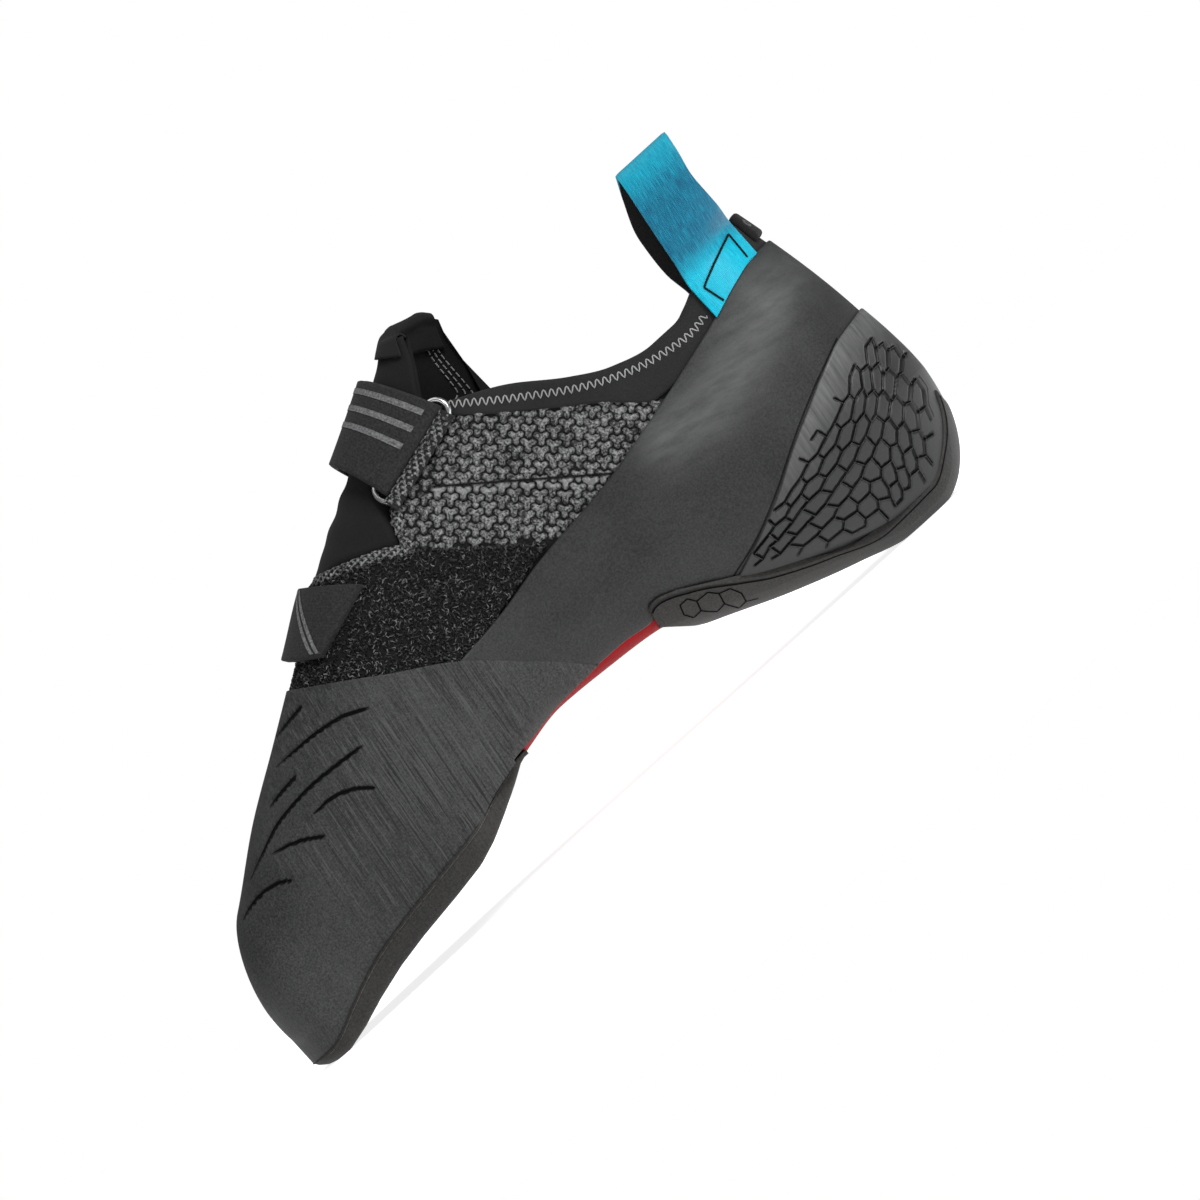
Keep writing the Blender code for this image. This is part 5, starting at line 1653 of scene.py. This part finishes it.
class SHOE_OT_pull_loop(bpy.types.Operator):
    """Satin pull loop at the heel with its box seam, and the small tab beside it"""

    bl_idname = "shoe.pull_loop"
    bl_label = "Pull loop"

    def execute(self, context):
        grid = self.path_grid()
        face = unit(np.cross(np.gradient(grid, axis=0), np.gradient(grid, axis=1)))
        half = sizes().pull_tape / MM / 2
        thick = half * (1 - 0.25 * rolled(edge_distance(grid), 0.6) / 0.6)[..., None]
        piece = closed_skin("pull_loop_tape", grid + face * thick, grid - face * thick)
        finish_piece(piece, self.satin(), ("pull_loop",), 50)
        piece = closed_skin("pull_loop_lining", grid - face * (thick - 0.05), grid - face * (thick + 0.12))
        finish_piece(piece, black_cloth("loop_lining", 1.2, 2200.0), (), 50)
        self.box_seam(grid + face * half * 1.12)
        self.heel_tab()
        return {"FINISHED"}

    def path_grid(self):
        """Points of the loop: up the collar's outside, over, and down inside it."""
        outer, inner, bend, tuck = BINDING_TOP + 1.1, -1.9, 5.0, 10.0
        loop_top = 125.0
        facing = np.array([0.0, -1.0, 0.0])

        def rim_height(x):
            return float(np.interp(x, *np.array(COLLAR_EDGE).T))

        def wall(x, z, depth):
            point = on_last(np.array([[x, z]]), MEDIAL)
            return (point + outward(point) * depth)[0]

        def rim_middle(x):
            point = on_last(np.array([[x, rim_height(x)]]), MEDIAL)
            flat = unit(outward(point)[0] * (1, 1, 0))
            return point[0] + flat * (outer + inner) / 2, flat

        centre = rim_middle(225.0)[0]
        rows = []
        for x in np.linspace(216.5, 233.5, 19):
            low, rim = float(np.interp(x, *np.array(RAND_EDGE).T)) - 0.6, rim_height(x)
            path = [wall(x, z, outer) for z in (low, (low + rim) / 2, rim + 1)]
            middle, flat = rim_middle(x)
            top = loop_top - bend
            knee, thigh = rim + 0.3 * (top - rim), rim + 0.65 * (top - rim)
            free = [(0.9, knee), (1.0, thigh)]
            free += [(math.cos(a), top + bend * math.sin(a)) for a in np.linspace(0, math.pi, 9)]
            free += [(-1.0, thigh), (-0.9, knee)]
            for reach, z in free:
                rise = (z - rim) / (loop_top - rim)
                settled = min(1.0, rise / 0.45)
                way = flat + (facing - flat) * settled
                lean = 6.0 * rise - 4.0 * (0.5 - 0.5 * reach) * math.sin(math.pi * rise)
                y = middle[1] + (centre[1] - middle[1]) * settled
                path.append(np.array([middle[0] + lean, y, z]) + way * reach * bend)
            path += [wall(x, z, inner) for z in (rim + 1, rim - tuck / 2, rim - tuck)]
            rows.append(traced(path, np.linspace(0, 1, 150)))
        return np.array(rows)

    def satin(self):
        """Ribbed satin with painted sheen: bright where it is sewn down and at the top of the loop, in
        painted shade between.
        """
        finish = Finish("azure_satin", 0.42, Sheen_Weight=0.05, Specular_IOR_Level=0.2)
        place = finish.map_place()
        rib = finish.ribs(place, "X", 0.75, 0.3)
        streak = finish.noise(finish.stretched(place, (0.25, 5.0, 1.0)), 1.0, 3.0, 0.6)
        height = finish.axis(finish.object_place(), "Z")
        # Painted sheen: lighter near the sewn-down base and near the top of the loop, darker between.
        low, high = ((0.0975 - height) * 150.0).clamp(), ((height - 0.113) * 90.0).clamp()
        shade = ((streak - 0.5) * 1.5 + rib * 0.12 + low * 0.75 + high * 0.5 + 0.03).clamp()
        finish.set("Base Color", finish.between(shade, colours().azure_painted_shade, mix(colours().azure, 1.15)))
        finish.set("Roughness", streak * 0.25 + 0.28)
        finish.bump(rib * 0.6 + streak * 0.4, 0.3, 0.0002)
        return finish.material

    def box_seam(self, top):
        """Box of dark stitches where the loop is sewn down, placed by the grid's rows and columns."""
        corners = np.array(((4.7, 0.6), (3.0, 10.7), (15.5, 14.7), (15.3, 0.6)))
        ends = np.concatenate([
            first + (last - first) * np.linspace(0, 1, 14, endpoint=False)[:, None]
            for first, last in zip(corners, corners[1:])
        ])
        works = []
        for first, last in zip(ends, ends[1:]):
            spots = [grid_spot(top, *(first + (last - first) * part)) for part in (0.08, 0.36, 0.64, 0.92)]
            works.append(tube_bmesh(spots, 0.34, 6))
        finish_piece(joined("loop_seam", works), black_cloth("dark_thread", 0.6, 2600.0))

    def heel_tab(self):
        """Small folded tab at the heel's top, with a light eyelet."""
        low = [(233.4, 86.4), (heel_back(86.8), 86.8)]
        high = [(233.4, 95.6), (heel_back(96.2), 96.2)]
        grid = lay(rows_between(low, high, lipped(14, 8)), 81)
        middle = grid.shape[1] // 2
        grid = grid[:, middle - 26:middle + 27]
        out = outward(grid)
        top = raised(grid, out, HEEL_TAB_TOP - rolled(edge_distance(grid, True), 1.2))
        piece = closed_skin("heel_tab_tape", top, grid + out * HEEL_TAB_UNDER)
        finish_piece(piece, black_cloth("heel_tab", 1.3, 2000.0), ("heel_tab",), 60)
        way = out[11, 6]
        spot = grid[11, 6] + way * (HEEL_TAB_TOP - 0.1)
        side = unit(np.cross(way, (0, 0, 1.0)))
        rise = np.cross(side, way)
        turn = np.linspace(0, 2 * math.pi, 20, endpoint=False)[:, None]
        circle = spot + 1.15 * (np.cos(turn) * side + np.sin(turn) * rise)
        wire = tube_bmesh(circle, 0.35, 8, up=np.tile(way, (20, 1)), closed=True)
        light = cloth_finish("eyelet", mix(colours().cloth, 9.0), 900.0, 1.6, 0.45)
        finish_piece(new_piece("heel_eyelet", wire), light)


class SHOE_OT_footbed(bpy.types.Operator):
    """Footbed inside the shoe"""

    bl_idname = "shoe.footbed"
    bl_label = "Footbed"

    def execute(self, context):
        x = np.linspace(16, 236, 120)
        low = heights(x)[0]
        grid = lay(columns_between(x, low + 2.2, low, eased(CROSS_SAMPLES)), 81)
        out = outward(grid)
        piece = closed_skin("footbed", grid - out * 1.0, grid - out * 0.15)
        finish_piece(piece, black_cloth("footbed", 2.2, 1100.0), ("insole",), 60)
        return {"FINISHED"}


class SHOE_OT_stage(bpy.types.Operator):
    """Pale floor, soft light and the camera beside the shoe"""

    bl_idname = "shoe.stage"
    bl_label = "Stage"

    def execute(self, context):
        self.floor()
        context.scene.view_settings.view_transform = "Standard"
        self.surround(context.scene)
        self.lamps(context.scene)
        self.camera(context.scene)
        return {"FINISHED"}

    def floor(self):
        """Pale round floor under the shoe."""
        work = bmesh.new()
        bmesh.ops.create_circle(work, cap_ends=True, segments=96, radius=0.8)
        floor = new_piece("floor", work)
        paint = Finish("pale_floor", 0.9)
        paint.set("Base Color", (0.9, 0.9, 0.9, 1))
        paint.set("Emission Color", (1, 1, 1, 1))
        paint.set("Emission Strength", 0.8)
        floor.data.materials.append(paint.material)

    def lamps(self, scene):
        """Key, fill and overhead lamps, all aimed at the shoe."""
        for name, place, size, power in (
            ("key", (0.90, -0.95, 0.95), 0.6, 20),
            ("fill", (-0.7, -1.4, 0.5), 0.9, 4),
            ("overhead", (0.0, 0.1, 2.2), 2.4, 20),
        ):
            lamp = bpy.data.lights.new(name, "AREA")
            lamp.energy = power
            lamp.size = size
            item = bpy.data.objects.new(name, lamp)
            item.location = place
            item.rotation_euler = (Vector((0, 0, 0.05)) - Vector(place)).to_track_quat("-Z", "Y").to_euler()
            scene.collection.objects.link(item)

    def camera(self, scene):
        """Camera at the photo's angle to the shoe, rolled about its own axis."""
        heelward = Vector((1, 0, 0))
        up = Vector((0, math.sin(CAMERA_LIFT), math.cos(CAMERA_LIFT)))
        right = heelward * math.cos(CAMERA_ROLL) - up * math.sin(CAMERA_ROLL)
        top = heelward * math.sin(CAMERA_ROLL) + up * math.cos(CAMERA_ROLL)
        back = right.cross(top)
        camera = bpy.data.cameras.new("camera")
        camera.sensor_width = SENSOR
        camera.lens = SENSOR * CAMERA_DISTANCE / sizes().frame_width
        item = bpy.data.objects.new("camera", camera)
        turn = Matrix((right, top, back)).transposed().to_4x4()
        item.matrix_world = Matrix.Translation(Vector(CAMERA_AIM) + back * CAMERA_DISTANCE) @ turn
        scene.collection.objects.link(item)
        scene.camera = item

    def surround(self, scene):
        """White backdrop that lights the shoe only softly."""
        world = bpy.data.worlds.new("studio")
        world.use_nodes = True
        tree = world.node_tree
        output, dim = tree.nodes["World Output"], tree.nodes["Background"]
        seen = tree.nodes.new("ShaderNodeBackground")
        path = tree.nodes.new("ShaderNodeLightPath")
        blend = tree.nodes.new("ShaderNodeMixShader")
        for shade, strength in ((dim, 0.2), (seen, 1.0)):
            shade.inputs["Color"].default_value = (1, 1, 1, 1)
            shade.inputs["Strength"].default_value = strength
        tree.links.new(path.outputs["Is Camera Ray"], blend.inputs["Fac"])
        tree.links.new(dim.outputs[0], blend.inputs[1])
        tree.links.new(seen.outputs[0], blend.inputs[2])
        tree.links.new(blend.outputs[0], output.inputs["Surface"])
        scene.world = world


class SHOE_PT_looks(bpy.types.Panel):
    """Buttons for each group of pieces"""

    bl_label = "Climbing shoe"
    bl_idname = "SHOE_PT_looks"
    bl_space_type = "VIEW_3D"
    bl_region_type = "UI"
    bl_category = "Shoe"

    def draw(self, context):
        for group in (context.scene.shoe_sizes, context.scene.shoe_colours):
            box = self.layout.box()
            for name in group.__annotations__:
                box.prop(group, name)
        for operator in OPERATORS:
            self.layout.operator(operator.bl_idname)


OPERATORS = (
    SHOE_OT_upper,
    SHOE_OT_rubber,
    SHOE_OT_heel_cup,
    SHOE_OT_soles,
    SHOE_OT_collar,
    SHOE_OT_loop_patch,
    SHOE_OT_knit,
    SHOE_OT_tongue,
    SHOE_OT_straps,
    SHOE_OT_pull_loop,
    SHOE_OT_footbed,
    SHOE_OT_stage,
)
CLASSES = (ShoeColours, ShoeSizes, *OPERATORS, SHOE_PT_looks)


def register():
    for item in CLASSES:
        bpy.utils.register_class(item)
    bpy.types.Scene.shoe_colours = PointerProperty(type=ShoeColours)
    bpy.types.Scene.shoe_sizes = PointerProperty(type=ShoeSizes)


def unregister():
    del bpy.types.Scene.shoe_sizes
    del bpy.types.Scene.shoe_colours
    for item in reversed(CLASSES):
        bpy.utils.unregister_class(item)


def main():
    register()
    for operator in OPERATORS:
        family, name = operator.bl_idname.split(".")
        getattr(getattr(bpy.ops, family), name)()


if __name__ == "__main__":
    main()
